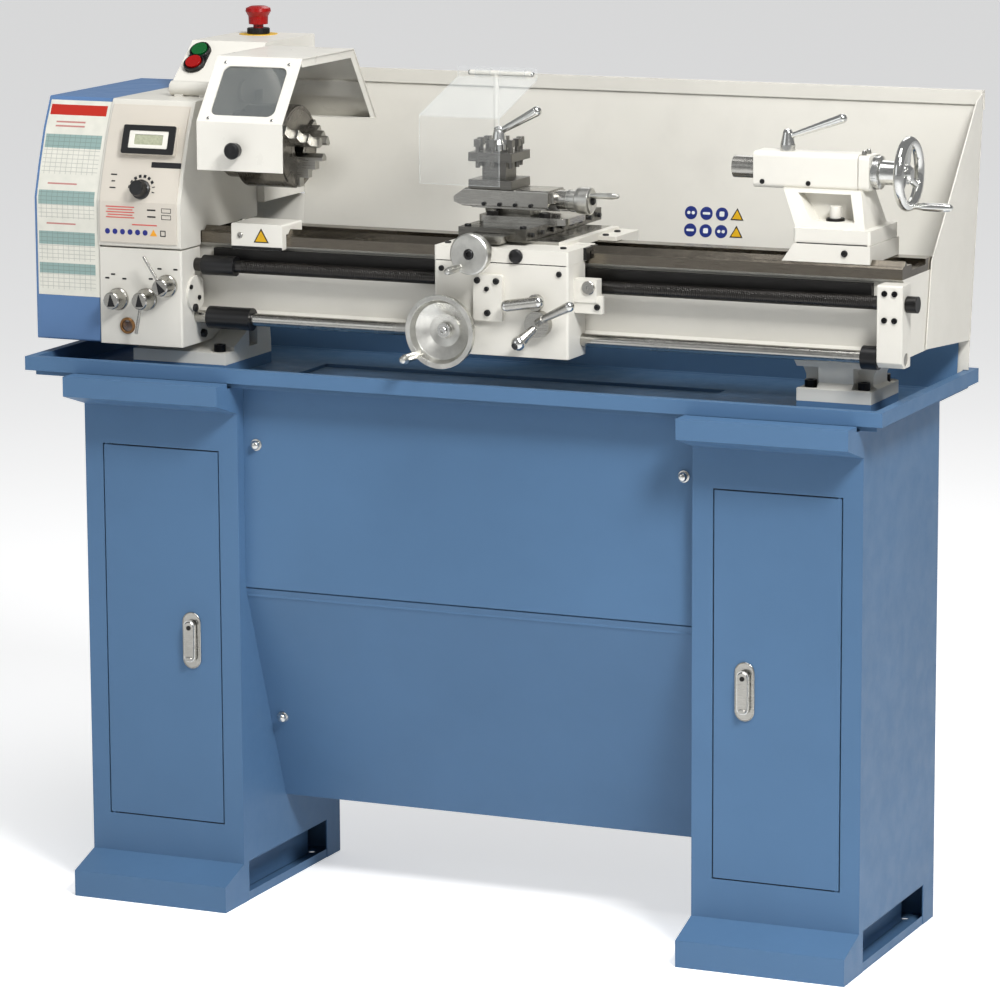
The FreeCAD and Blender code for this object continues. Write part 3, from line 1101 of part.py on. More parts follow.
# ---------------------------------------------------------------- backsplash
def backsplash():
    """Leaning rear panel with a folded top rail and a right-hand wing."""
    low, crease = V(0, *SPLASH_BASE), V(0, *SPLASH_CREASE)
    t = SHEET
    panel = prism([(low.y, low.z), (crease.y, crease.z), (crease.y + t, crease.z), (low.y + t, low.z)],
                  "x", SPLASH_X)
    foot_space = box((SPLASH_X[1] - 9, SPLASH_X[1] + 1), (225, 280), (790, TRAY_RIM_Z + 1))
    rail = prism([(crease.y - 3, crease.z), (crease.y - 3, SPLASH_TOP_Z), (crease.y + 9, SPLASH_TOP_Z),
                  (crease.y + 9, crease.z - 8), (crease.y + 7, crease.z - 8),
                  (crease.y + 7, SPLASH_TOP_Z - t),
                  (crease.y - 1, SPLASH_TOP_Z - t), (crease.y - 1, crease.z + t),
                  (crease.y + t, crease.z + t),
                  (crease.y + t, crease.z)], "x", SPLASH_X)
    wing = prism([(crease.y + 1, SPLASH_TOP_Z - 4), (262, 1222), (155, 1106), (64, 1012), (42, 887),
                  (240, 872)],
                 "x", (SPLASH_X[1] - t, SPLASH_X[1]))
    return fuse(panel.cut(foot_space), rail, wing)


# ---------------------------------------------------------------- output
PARTS = {
    "left_cabinet": left_cabinet,
    "right_cabinet": lambda: mirrored(left_cabinet()),
    "left_door": left_door,
    "right_door": lambda: mirrored(left_door()),
    "left_door_latch": left_door_latch,
    "right_door_latch": lambda: mirrored(left_door_latch()),
    "front_panels": front_panels,
    "chip_tray": chip_tray,
    "bed": bed,
    "rack": rack,
    "headstock_casting": headstock_casting,
    "spindle_bearings": spindle_bearings,
    "feed_gearbox": feed_gearbox,
    "gear_knob_left": lambda: gear_knob("left"),
    "gear_knob_middle": lambda: gear_knob("middle"),
    "gear_knob_right": lambda: gear_knob("right"),
    "control_panel": control_panel,
    "speed_knob": speed_knob,
    "control_cabinet": control_cabinet,
    "start_button": lambda: push_button(START_AT),
    "stop_button": lambda: push_button(STOP_AT),
    "emergency_stop": emergency_stop,
    "motor": motor,
    "motor_pulley": motor_pulley,
    "drive_belt": drive_belt,
    "idler_gear": idler_gear,
    "change_gear_quadrant": change_gear_quadrant,
    "gear_cover": gear_cover,
    "spindle": spindle,
    "chuck_body": chuck_body,
    "chuck_jaw_1": lambda: chuck_jaw(JAW_ANGLES[0]),
    "chuck_jaw_2": lambda: chuck_jaw(JAW_ANGLES[1]),
    "chuck_jaw_3": lambda: chuck_jaw(JAW_ANGLES[2]),
    "guard_pivot_tube": guard_pivot_tube,
    "chuck_guard": chuck_guard,
    "guard_window": guard_window,
    "leadscrew": leadscrew,
    "feed_rod": feed_rod,
    "leadscrew_bracket": leadscrew_bracket,
    "machine_screws": machine_screws,
    "limit_switch_box": limit_switch_box,
    "saddle": saddle,
    "apron": apron,
    "carriage_handwheel": carriage_handwheel,
    "half_nut_lever": half_nut_lever,
    "feed_lever": feed_lever,
    "cross_slide": cross_slide,
    "cross_slide_handwheel": cross_slide_handwheel,
    "compound_base": compound_base,
    "top_slide": top_slide,
    "top_slide_handwheel": top_slide_handwheel,
    "tool_post": tool_post,
    "tool_post_lever": tool_post_lever,
    "shield_arm": shield_arm,
    "tool_shield": tool_shield,
    "tailstock_body": tailstock_body,
    "quill": quill,
    "tailstock_handwheel": tailstock_handwheel,
    "quill_lock_lever": quill_lock_lever,
    "backsplash": backsplash,
}


def main():
    """Writes one STEP file per sub-part."""
    os.makedirs("parts", exist_ok=True)
    for name, make in PARTS.items():
        made = make()
        solids = made if isinstance(made, list) else [made]
        solids = [solid for shape in solids for solid in shape.Solids]
        shape = solids[0] if len(solids) == 1 else Part.makeCompound(solids)
        shape.exportStep(f"parts/{name}.step")


main()
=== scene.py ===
"""Looks of the bench lathe: materials, dressed pieces, studio and camera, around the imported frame."""
import json
from math import atan2, cos, dist, pi, radians, sin

import bmesh
import bpy
from mathutils import Matrix, Vector


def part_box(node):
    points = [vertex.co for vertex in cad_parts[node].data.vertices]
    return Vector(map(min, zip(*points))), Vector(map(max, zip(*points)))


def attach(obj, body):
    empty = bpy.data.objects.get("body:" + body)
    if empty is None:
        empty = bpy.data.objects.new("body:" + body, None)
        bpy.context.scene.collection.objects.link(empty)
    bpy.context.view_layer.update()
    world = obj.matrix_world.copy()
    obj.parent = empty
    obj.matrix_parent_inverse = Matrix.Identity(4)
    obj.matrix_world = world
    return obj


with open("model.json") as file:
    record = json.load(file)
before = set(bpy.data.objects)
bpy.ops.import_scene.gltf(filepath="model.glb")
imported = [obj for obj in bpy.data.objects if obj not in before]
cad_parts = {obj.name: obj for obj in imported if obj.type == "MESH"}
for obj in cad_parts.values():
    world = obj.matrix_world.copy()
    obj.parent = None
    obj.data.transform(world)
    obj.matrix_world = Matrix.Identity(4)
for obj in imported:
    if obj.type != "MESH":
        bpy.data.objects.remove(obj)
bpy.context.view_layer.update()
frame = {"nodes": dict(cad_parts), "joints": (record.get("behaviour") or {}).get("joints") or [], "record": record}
nodes = frame["nodes"]

# ---------------------------------------------------------------- named values (metres, degrees)
CAMERA_TARGET = Vector((0.0154, -0.0267, 0.6332))
CAMERA_DISTANCE = 6.854
CAMERA_AZIMUTH, CAMERA_ELEVATION, CAMERA_ROLL = 23.867, 10.75, -0.292
CAMERA_LENS = 165.985
MM = 0.001
TINY = 1e-9
FILM = 0.0003           # thickness of printed marks
WAY_EDGE_Z = 1.000      # ground faces of the bed begin here
LEADSCREW_Y, LEADSCREW_Z = -0.077, 0.969
SPINDLE = Vector((0.0, 0.008, 1.143))
DESK_LOW, DESK_HIGH = Vector((0.06, 1.214)), Vector((0.144, 1.284))
HEAD_FACE = [(-0.125, 1.065), (-0.111, 1.112), (-0.092, 1.166), (-0.069, 1.213)]
PANEL_RISE, COVER_SETBACK, DISPLAY_RISE = 0.002, 0.003, 0.01
HOOD_SLOPE = ((-0.147, 1.193), (-0.076, 1.284))
SPLASH_GUARD = ((0.233, 0.801), (0.289, 1.215))
BUTTONS_X, LATCH_X, LATCH_Z = -0.55, 0.447, 0.403
APRON_Y, SWITCH_Y, CABINET_BACK_Y = -0.13, -0.073, 0.312


def srgb(r, g, b):
    """Linear colour from 8-bit sRGB values."""
    def lin(c):
        c /= 255
        return c / 12.92 if c <= 0.04045 else ((c + 0.055) / 1.055) ** 2.4
    return (lin(r), lin(g), lin(b), 1.0)


STAND_BLUE = srgb(80, 112, 146)
COVER_BLUE = srgb(90, 121, 162)
CREAM = srgb(214, 211, 202)
WHITE = srgb(226, 223, 214)
PANEL_CREAM = srgb(205, 198, 186)
BLACK = srgb(18, 18, 19)
STEEL = srgb(186, 184, 178)


# ---------------------------------------------------------------- shader graphs
class Graph:
    """A material's node tree with short calls for the nodes used here."""

    def __init__(self, name):
        self.material = bpy.data.materials.new(name)
        self.material.use_nodes = True
        self.tree = self.material.node_tree
        self.tree.nodes.clear()
        self.bsdf = self.add("BsdfPrincipled")
        out = self.add("OutputMaterial")
        self.tree.links.new(self.bsdf.outputs[0], out.inputs[0])
        self.place = self.add("TexCoord").outputs["Object"]

    def add(self, kind, **settings):
        node = self.tree.nodes.new("ShaderNode" + kind)
        for key, value in settings.items():
            setattr(node, key, value)
        return node

    def put(self, socket, value):
        """Links a socket or sets a plain value."""
        if isinstance(value, bpy.types.NodeSocket):
            self.tree.links.new(value, socket)
        else:
            socket.default_value = value

    def fill(self, node, inputs):
        """Fills a node's inputs and returns its outputs."""
        for key, value in inputs.items():
            self.put(node.inputs[key], value)
        return node.outputs

    def set(self, **values):
        """Inputs of the principled shader, with underscores for spaces."""
        self.fill(self.bsdf, {key.replace("_", " "): value for key, value in values.items()})

    def math(self, operation, a, b=0.0):
        return self.fill(self.add("Math", operation=operation), {0: a, 1: b})[0]

    def vector(self, operation, a, b=(0.0, 0.0, 0.0)):
        return self.fill(self.add("VectorMath", operation=operation), {0: a, 1: b})

    def mix(self, factor, a, b):
        return self.fill(self.add("Mix", data_type="RGBA"), {0: factor, 6: a, 7: b})[2]

    def blend(self, factor, a, b):
        """Plain numbers or their sockets mixed by a mask."""
        return self.fill(self.add("Mix", data_type="FLOAT"), {0: factor, 2: a, 3: b})[0]

    def span(self, value, low, high, to_low=0.0, to_high=1.0):
        return self.fill(self.add("MapRange"), dict(enumerate((value, low, high, to_low, to_high))))[0]

    def scaled(self, *factors):
        return self.vector("MULTIPLY", self.place, factors)[0]

    def noise(self, scale, detail=3.0, vector=None):
        inputs = {"Vector": vector or self.place, "Scale": scale, "Detail": detail, "Roughness": 0.55}
        return self.fill(self.add("TexNoise"), inputs)[0]

    def axis(self, letter):
        return self.fill(self.add("SeparateXYZ"), {0: self.place})["XYZ".index(letter)]

    def both(self, *masks):
        result = masks[0]
        for mask in masks[1:]:
            result = self.math("MULTIPLY", result, mask)
        return result

    def radius(self, origin, axis):
        """Distance from a line through origin along one of the machine's axes."""
        away = self.vector("SUBTRACT", self.place, origin)[0]
        flat = self.vector("MULTIPLY", away, [float(letter != axis) for letter in "XYZ"])[0]
        return self.vector("LENGTH", flat)["Value"]

    def soften(self, radius):
        """Normals rounded over sharp edges; self.edges becomes a mask that is 1 there."""
        bevel = self.add("Bevel", samples=3)
        rounded = self.fill(bevel, {"Radius": radius})[0]
        flat = self.add("NewGeometry").outputs["Normal"]
        self.edges = self.span(self.vector("DOT_PRODUCT", rounded, flat)["Value"], 0.995, 0.9)
        return rounded

    def bump(self, height, strength, distance, normal=None):
        inputs = {"Height": height, "Strength": strength, "Distance": distance}
        if normal is not None:
            inputs["Normal"] = normal
        return self.fill(self.add("Bump"), inputs)[0]


def shade(colour, factor):
    return (*(channel * factor for channel in colour[:3]), 1.0)


# Recipes: each returns the colour, roughness, metal, coat and surface height of one finish.
def enamel(colour, rough=0.4, edge_wear_and_highlight=0.35, coat=0.06, grime=0.14, peel=0.35):
    """Sprayed enamel: orange peel, drift of tone, handling marks and edges lighter from wear and painted
    highlight.
    """
    def recipe(g):
        tone = g.mix(g.span(g.noise(2.2, 4.0), 0.35, 0.65), shade(colour, 0.94), shade(colour, 1.05))
        smudge = g.span(g.noise(14.0, 6.0), 0.5, 0.78)
        tone = g.mix(g.math("MULTIPLY", smudge, grime), tone, shade(colour, 0.62))
        # Edges lightened to 1.5 times the colour: part chipped wear, part painted highlight.
        worn_and_highlit_edges = g.math("MULTIPLY", g.edges, g.span(g.noise(120.0, 4.0), 0.44, 0.6))
        tone = g.mix(g.math("MULTIPLY", worn_and_highlit_edges, edge_wear_and_highlight), tone, shade(colour, 1.5))
        gloss = g.span(g.noise(30.0, 5.0), 0.3, 0.7, rough - 0.06, rough + 0.08)
        return tone, gloss, 0.0, coat, g.math("MULTIPLY", g.noise(520.0, 2.0), peel)
    return recipe


def steel(colour, rough=0.28, grain=(1.0, 40.0, 40.0), scale=60.0, depth=0.25, stain=0.3):
    """Machined or ground steel: streaks one way, oil film, stains and a painted highlight along the edges."""
    def recipe(g):
        streak = g.noise(scale, 4.0, g.scaled(*grain))
        film = g.span(g.noise(9.0, 6.0), 0.38, 0.72)
        tone = g.mix(g.span(streak, 0.3, 0.7), shade(colour, 0.74), shade(colour, 1.14))
        tone = g.mix(g.math("MULTIPLY", film, stain), tone, shade(colour, 0.42))
        # Painted highlight: edges lightened to 1.5 times the colour.
        tone = g.mix(g.math("MULTIPLY", g.edges, 0.5), tone, shade(colour, 1.5))
        gloss = g.span(g.math("ADD", streak, film), 0.4, 1.5, rough - 0.08, rough + 0.16)
        return tone, gloss, 1.0, 0.0, g.math("MULTIPLY", streak, depth)
    return recipe


def moulded(colour, rough=0.38, grain=0.3):
    """Moulded plastic with a fine spark texture and lighter edges, partly rubbed wear and partly painted
    highlight.
    """
    def recipe(g):
        tone = g.mix(g.noise(40.0, 4.0), shade(colour, 0.8), shade(colour, 1.2))
        # Edges lightened: part rubbed wear, part painted highlight.
        tone = g.mix(g.math("MULTIPLY", g.edges, 0.3), tone, shade(colour, 2.4))
        gloss = g.span(g.noise(90.0, 3.0), 0.3, 0.7, rough - 0.06, rough + 0.08)
        return tone, gloss, 0.0, 0.1, g.math("MULTIPLY", g.noise(1600.0, 2.0), grain)
    return recipe


def finish(name, base, *patches, edge=1.0, specular=0.35):
    """Material of one recipe, with other recipes where a mask of the machine's space is 1."""
    g = Graph(name)
    normal = g.soften(edge * MM)
    tone, gloss, metal, coat, height = base(g)
    for mask, recipe in patches:
        factor = mask(g)
        other_tone, *others = recipe(g)
        tone = g.mix(factor, tone, other_tone)
        pairs = zip((gloss, metal, coat, height), others)
        gloss, metal, coat, height = (g.blend(factor, a, b) for a, b in pairs)
    g.set(Base_Color=tone, Roughness=gloss, Metallic=metal, Coat_Weight=coat, Coat_Roughness=0.12,
          Specular_IOR_Level=specular)
    g.set(Normal=g.bump(height, 0.6, 0.12 * MM, normal))
    return g.material


def clear(name, tint, body=0.03, rim=0.6):
    """Clear sheet with fine scratches; its pale tint is more opaque at grazing angles as a painted reflection and
    at cut edges as a painted highlight.
    """
    g = Graph(name)
    scratches = g.noise(30.0, 5.0, g.scaled(1.0, 9.0, 22.0))
    facing = g.fill(g.add("LayerWeight"), {"Blend": 0.35})["Facing"]
    g.soften(1.0 * MM)
    # Painted reflection: opacity rises towards grazing angles; painted highlight: the rim amount makes the cut
    # edges opaque.
    alpha = g.math("MAXIMUM", g.span(facing, 0.0, 1.0, body, body + 0.35), g.math("MULTIPLY", g.edges, rim))
    g.set(Base_Color=tint, Roughness=g.span(g.noise(6.0, 5.0), 0.4, 0.8, 0.04, 0.14), IOR=1.45, Alpha=alpha,
          Normal=g.bump(scratches, 0.1, 0.03 * MM))
    return g.material


BLACK_PLASTIC = moulded(BLACK)
DARK_STEEL = steel(srgb(58, 57, 56), rough=0.36, stain=0.25)
BRIGHT = steel(STEEL, rough=0.24)
CHROME = steel(srgb(222, 222, 219), rough=0.13, depth=0.05, stain=0.1)
WAY_STEEL = steel(srgb(132, 125, 114), rough=0.2, stain=0.5)


def zone(**limits):
    """Mask of a part of the machine's space: per axis a low and a high limit, or None."""
    def mask(g):
        tests = [g.math(test, g.axis(letter), value) for letter, pair in limits.items()
                 for test, value in zip(("GREATER_THAN", "LESS_THAN"), pair) if value is not None]
        return g.both(*tests)
    return mask


def on_desk(g):
    """Mask of the plate and buttons standing on the control cabinet's sloping desk."""
    slope = (DESK_HIGH - DESK_LOW).normalized()
    across = g.math("MULTIPLY", g.math("SUBTRACT", g.axis("Y"), DESK_LOW.x), -slope.y)
    up = g.math("MULTIPLY", g.math("SUBTRACT", g.axis("Z"), DESK_LOW.y), slope.x)
    raised = g.math("GREATER_THAN", g.math("ADD", across, up), 0.0004)
    return g.both(raised, zone(Y=(None, 0.142), Z=(1.216, None))(g))


def off_bore(g):
    """Mask of the pulley around the spindle's left end."""
    return g.both(zone(X=(None, -0.61))(g), g.math("GREATER_THAN", g.radius(SPINDLE, "X"), 0.0255))


def on_quill_scale(g):
    """Millimetre lines cut along the front of the quill."""
    lines = g.math("LESS_THAN", g.math("FRACT", g.math("DIVIDE", g.axis("X"), 0.002)), 0.17)
    band = (SPINDLE.z - 0.0035, SPINDLE.z + 0.0035)
    return g.both(lines, zone(X=(0.3745, 0.4065), Y=(None, SPINDLE.y), Z=band)(g))


LOOKS = {}


def look(key, base, *patches, name=None, **settings):
    """Finish kept under a material slot of the record or the name of a node."""
    LOOKS[key] = finish(name or key, base, *patches, **settings)


look("stand_blue", enamel(STAND_BLUE, rough=0.42, coat=0.0, grime=0.06), specular=0.22)
look("tray_blue", enamel(STAND_BLUE, rough=0.44, coat=0.0, grime=0.08), specular=0.2)
look("cover_blue", enamel(COVER_BLUE, coat=0.0), specular=0.2)
look("head_cream", enamel(CREAM, rough=0.38, peel=0.6))
look("bed_cream", enamel(CREAM, rough=0.42, peel=0.9),
     (zone(Z=(WAY_EDGE_Z, None), X=(-0.462, None)), WAY_STEEL))
look("guard_white", enamel(WHITE, rough=0.32))
look("panel_grey", enamel(PANEL_CREAM, rough=0.42, peel=0.1))
look("bright_steel", BRIGHT, edge=0.5)
look("dark_steel", DARK_STEEL, edge=0.5)
look("chrome_trim", CHROME, edge=0.6)
look("black_plastic", BLACK_PLASTIC)
look("cast_wheel", steel(srgb(214, 213, 207), rough=0.3, grain=(1, 1, 1), scale=35.0))
look("motor_grey", steel(srgb(110, 112, 115), rough=0.5, grain=(1, 1, 1)))
look("belt_rubber", moulded(srgb(16, 16, 17), rough=0.7))
look("button_green", moulded(srgb(4, 84, 36), rough=0.25, grain=0.05))
look("button_red", moulded(srgb(150, 5, 4), rough=0.28, grain=0.05))
LOOKS["clear_shield"] = clear("clear_shield", srgb(222, 226, 226))

# Nodes whose casting carries a second finish, by places of the machine at rest.
look("control_cabinet", enamel(WHITE, rough=0.36), (on_desk, BLACK_PLASTIC),
     (zone(Z=(1.2844, None)), BLACK_PLASTIC), name="cabinet_white")
look("chuck_guard", enamel(WHITE, rough=0.32), (zone(Y=(None, -0.1484), Z=(1.135, None)), BLACK_PLASTIC),
     (zone(X=(None, -0.4195), Z=(1.21, None)), BRIGHT), name="hood_white")
look("limit_switch_box", enamel(WHITE, rough=0.36), (zone(X=(None, -0.4025)), BRIGHT), name="switch_white")
look("leadscrew", steel(srgb(74, 72, 70), rough=0.32), (zone(X=(-0.448, -0.39)), BLACK_PLASTIC),
     (zone(X=(0.6655, None)), DARK_STEEL), name="leadscrew_steel")
look("feed_rod", BRIGHT, (zone(X=(-0.439, -0.3655)), BLACK_PLASTIC),
     (zone(X=(0.6005, 0.6255)), BLACK_PLASTIC), name="feed_rod_steel")
look("machine_screws", steel(srgb(40, 40, 41), rough=0.34), (zone(Z=(None, 0.75)), CHROME),
     name="screw_heads")
look("saddle", enamel(CREAM, rough=0.4, peel=0.8), (zone(X=(0.1702, None)), BLACK_PLASTIC),
     (zone(Z=(1.0252, None), Y=(-0.119, None), X=(None, 0.13)), BRIGHT), name="saddle_cream")
look("cross_slide", steel(srgb(120, 118, 113), rough=0.27), (zone(X=(0.0884, None)), BLACK_PLASTIC),
     name="cross_slide_steel")
look("tool_post", steel(srgb(128, 126, 121), rough=0.3), name="tool_post_steel")
look("spindle", BRIGHT, (off_bore, DARK_STEEL), name="spindle_steel")
look("chuck_body", steel(srgb(142, 138, 131), rough=0.2, grain=(30, 1, 1), stain=0.35), name="chuck_steel")
look("tailstock_handwheel", CHROME, name="tail_wheel")
look("shield_arm", enamel(WHITE, rough=0.3))
look("quill", BRIGHT, (on_quill_scale, moulded(BLACK)), name="quill_steel")
LOOKS["guard_window"] = clear("smoked_window", srgb(112, 116, 116), body=0.5, rim=0.7)


def dress(obj, material):
    """The same finish on every slot of a CAD node's object."""
    for slot in obj.material_slots:
        slot.link = "OBJECT"
        slot.material = material


for part in frame["record"]["subparts"]:
    if part["node"] in nodes:
        dress(nodes[part["node"]], LOOKS.get(part["node"]) or LOOKS[part["material_slot"]])


def printed(name, colour, rough=0.45, edge=1.0):
    """Smooth ink or film of one colour."""
    return finish(name, moulded(colour, rough=rough, grain=0.05), edge=edge)


INK = printed("engraved_ink", srgb(20, 20, 20), 0.5, 0.6)


# ---------------------------------------------------------------- mesh helpers
class Plane:
    """A flat place on the machine: points are given across, up and outwards from it."""

    def __init__(self, origin, across, up):
        self.origin, self.across, self.up = (Vector(v) for v in (origin, across, up))
        self.across.normalize()
        self.up.normalize()
        self.out = self.across.cross(self.up)

    def at(self, a, b, c=0.0):
        return self.origin + self.across * a + self.up * b + self.out * c


def front_plane(x, y, z):
    """Plane facing the operator."""
    return Plane((x, y, z), (1, 0, 0), (0, 0, 1))


def disc_outline(r, steps=48, start=0.0):
    return [(r * cos(start + 2 * pi * i / steps), r * sin(start + 2 * pi * i / steps))
            for i in range(steps)]


def box_outline(width, height, r=0.0, steps=6):
    """Rectangle about the origin with rounded corners, anticlockwise."""
    if r <= 0:
        return [(x * width / 2, y * height / 2) for x, y in ((-1, -1), (1, -1), (1, 1), (-1, 1))]
    points = []
    for index, (sx, sy) in enumerate(((1, 1), (-1, 1), (-1, -1), (1, -1))):
        for step in range(steps + 1):
            a = radians(90 * (index + step / steps))
            points.append((sx * (width / 2 - r) + r * cos(a), sy * (height / 2 - r) + r * sin(a)))
    return points


def skin(bm, rings, loop=False):
    """Quads between successive rings of points, closed by end faces, or joined last to first."""
    made = [[bm.verts.new(point) for point in ring] for ring in rings]
    n = len(made[0])
    for low, high in zip(made, made[1:] + (made[:1] if loop else [])):
        for i in range(n):
            bm.faces.new((low[i], low[(i + 1) % n], high[(i + 1) % n], high[i]))
    if not loop:
        bm.faces.new(made[-1])
        bm.faces.new(made[0][::-1])


def slab(bm, plane, outline, thickness, shift=(0, 0), base=0.0, soft=0.0):
    """Closed slab standing on a plane; soft chamfers its outer rim."""
    top = base + thickness
    levels = [(base, 0.0)] + ([(top - soft, 0.0)] if soft else []) + [(top, soft)]
    cx = sum(p[0] for p in outline) / len(outline)
    cy = sum(p[1] for p in outline) / len(outline)

    def drawn_in(a, b, pull):
        away = Vector((a - cx, b - cy))
        length = max(away.length, TINY)
        return away * (max(length - pull, 0.0) / length) + Vector((cx + shift[0], cy + shift[1]))

    skin(bm, [[plane.at(*drawn_in(a, b, pull), height) for a, b in outline] for height, pull in levels])


def frame_slab(bm, plane, outer, inner, thickness, base=0.0):
    """Slab with a hole; both outlines have the same number of points."""
    top = base + thickness
    levels = ((outer, base), (outer, top), (inner, top), (inner, base))
    skin(bm, [[plane.at(a, b, h) for a, b in line] for line, h in levels], loop=True)


def bar(bm, outline, x):
    """Prism of a (y, z) outline along X between the two values of x."""
    skin(bm, [[(at, *p) for p in outline] for at in x])


def spokes(axis, count):
    """Unit directions around an axis."""
    u = Vector(axis).orthogonal().normalized()
    v = Vector(axis).normalized().cross(u)
    angles = [2 * pi * i / count for i in range(count)]
    return [u * cos(t) + v * sin(t) for t in angles]


def turn(bm, profile, origin, axis, steps=64):
    """Revolves (distance, radius) pairs about an axis; a radius of 0 closes on the axis."""
    rings = []
    for distance, r in profile:
        centre = Vector(origin) + Vector(axis).normalized() * distance
        around = spokes(axis, steps) if r > TINY else [Vector()]
        rings.append([bm.verts.new(centre + spoke * r) for spoke in around])
    for low, high in zip(rings, rings[1:]):
        for i in range(steps):
            j = (i + 1) % steps
            corners = (low[i % len(low)], low[j % len(low)], high[j % len(high)], high[i % len(high)])
            bm.faces.new(list(dict.fromkeys(corners)))


def piece(name, bm, material, body="machine_base", sharp=34.0, bevel=0.0):
    """Object from a mesh in row-frame metres, riding on a body; the material may be a key of LOOKS."""
    bmesh.ops.recalc_face_normals(bm, faces=bm.faces)
    limit = radians(sharp)
    for face in bm.faces:
        face.smooth = True
    for edge in bm.edges:
        if len(edge.link_faces) != 2 or edge.calc_face_angle(0.0) > limit:
            edge.smooth = False
    mesh = bpy.data.meshes.new(name)
    bm.to_mesh(mesh)
    bm.free()
    mesh.materials.append(LOOKS[material] if isinstance(material, str) else material)
    obj = bpy.data.objects.new(name, mesh)
    bpy.context.collection.objects.link(obj)
    if bevel:
        soften = obj.modifiers.new("soften", "BEVEL")
        soften.width, soften.segments, soften.angle_limit = bevel, 2, limit
    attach(obj, body)


def solid(name, material, shape, *values, body="machine_base", sharp=34.0, bevel=0.0, **settings):
    """Piece of a single shape."""
    bm = bmesh.new()
    shape(bm, *values, **settings)
    piece(name, bm, material, body, sharp, bevel)


def socket_screw(bm, plane, r, height):
    """Cap screw head with a hexagon socket."""
    outer = disc_outline(r, 24)
    rim = disc_outline(r * 0.86, 24)
    hexagon = []
    for i in range(24):
        t = 2 * pi * i / 24
        reach = r * 0.5 / cos((t + pi / 6) % (pi / 3) - pi / 6)
        hexagon.append((reach * cos(t), reach * sin(t)))
    levels = ((outer, 0), (outer, height - 0.14 * r), (rim, height), (hexagon, height),
              (hexagon, 0.4 * height))
    skin(bm, [[plane.at(a, b, h) for a, b in line] for line, h in levels])


# ---------------------------------------------------------------- headstock front

def facet_plane(segment, x, distance, rise=0.0):
    """Plane on one facet of the headstock's front at a distance up the facet."""
    start, end = (Vector((x, *HEAD_FACE[i])) for i in (segment, segment + 1))
    up = (end - start).normalized()
    plane = Plane(start + up * distance, (1, 0, 0), up)
    plane.origin += plane.out * rise
    return plane


def ribbon(bm, path, x, thickness):
    """Sheet that follows a (y, z) path and runs along X between the two values of x."""
    layers = []
    for index, (y, z) in enumerate(path):
        before = Vector(path[max(index - 1, 0)])
        after = Vector(path[min(index + 1, len(path) - 1)])
        along = (after - before).normalized()
        out = Vector((-along.y, along.x))
        layers.append([(at, y + out.x * h, z + out.y * h)
                       for at, h in ((x[0], 0), (x[1], 0), (x[1], thickness), (x[0], thickness))])
    skin(bm, layers)


# Heights of each printed table: top of its head, foot of its head, foot of its rows.
TABLES = [(1.158, 1.138, 1.1), (1.076, 1.055, 1.034), (1.014, 0.994, 0.97), (0.966, 0.95, 0.926)]
LABEL_LOW, LABEL_TOP_RISE = 0.917, 0.046


def printed_label():
    """Printed film: pale ground, a red heading bar, tinted table heads and ruled empty cells."""
    g = Graph("printed_label")

    def area(low, high, x=(-0.7035, -0.6075)):
        return zone(X=x, Z=(low, high))(g)

    def lines(letter, pitch, width):
        return g.math("LESS_THAN", g.math("FRACT", g.math("DIVIDE", g.axis(letter), pitch)), width / pitch)

    fade = g.span(g.noise(60.0, 4.0), 0.3, 0.7)
    tone = g.mix(fade, srgb(208, 207, 196), srgb(218, 216, 205))
    rules = g.math("MAXIMUM", lines("X", 0.0092, 0.0008), lines("Z", 0.0062, 0.0008))
    for top, middle, low in TABLES:
        tone = g.mix(g.math("MULTIPLY", area(middle, top), 0.9), tone, srgb(124, 154, 150))
        cells = g.both(area(low, top), rules)
        tone = g.mix(g.math("MULTIPLY", cells, 0.45), tone, srgb(90, 96, 94))
    tone = g.mix(area(1.186, 1.201), tone, srgb(178, 34, 16))
    for height in (1.176, 1.17, 1.026, 1.086):
        dash = area(height - 0.0012, height + 0.0012, (-0.69, -0.64))
        tone = g.mix(g.math("MULTIPLY", dash, 0.8), tone, srgb(176, 84, 80))
    g.set(Base_Color=tone, Roughness=g.span(g.noise(80.0), 0.3, 0.7, 0.34, 0.46), Coat_Weight=0.2,
          Normal=g.bump(g.noise(240.0), 0.1, 0.05 * MM))
    return g.material


def make_cover_label():
    """Printed tables on the gear cover's front."""
    bm = bmesh.new()
    low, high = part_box("gear_cover")
    path = [(low.y, LABEL_LOW), (low.y, 1.04)]
    path += [(y + COVER_SETBACK, z) for y, z in HEAD_FACE[:3]]
    end = facet_plane(2, 0.0, LABEL_TOP_RISE)
    path.append((end.origin.y + COVER_SETBACK, end.origin.z))
    ribbon(bm, path, (low.x + 0.004, high.x - 0.004), 0.0004)
    piece("gear_cover_label", bm, printed_label(), "gear_cover", sharp=60)


def make_display():
    """Black bezel, pale inner frame and the grey-green screen of the speed readout."""
    block = facet_plane(1, -0.521, 0.044, DISPLAY_RISE)
    solid("display_bezel", "black_plastic", frame_slab,
          block, box_outline(0.088, 0.044, 0.003), box_outline(0.066, 0.027, 0.002), 0.0025, bevel=0.0004)
    solid("display_inner_frame", "guard_white", frame_slab,
          block, box_outline(0.066, 0.027, 0.002), box_outline(0.048, 0.0155, 0.001), 0.0015, bevel=0.0002)
    bm = bmesh.new()
    slab(bm, block, box_outline(0.048, 0.0155, 0.001), 0.0006)
    g = Graph("display_screen")
    tone = g.mix(g.span(g.noise(300.0, 2.0), 0.3, 0.7), srgb(150, 154, 126), srgb(168, 171, 143))
    g.set(Base_Color=tone, Roughness=0.12, Coat_Weight=0.8, Coat_Roughness=0.05)
    piece("display_screen", bm, g.material)


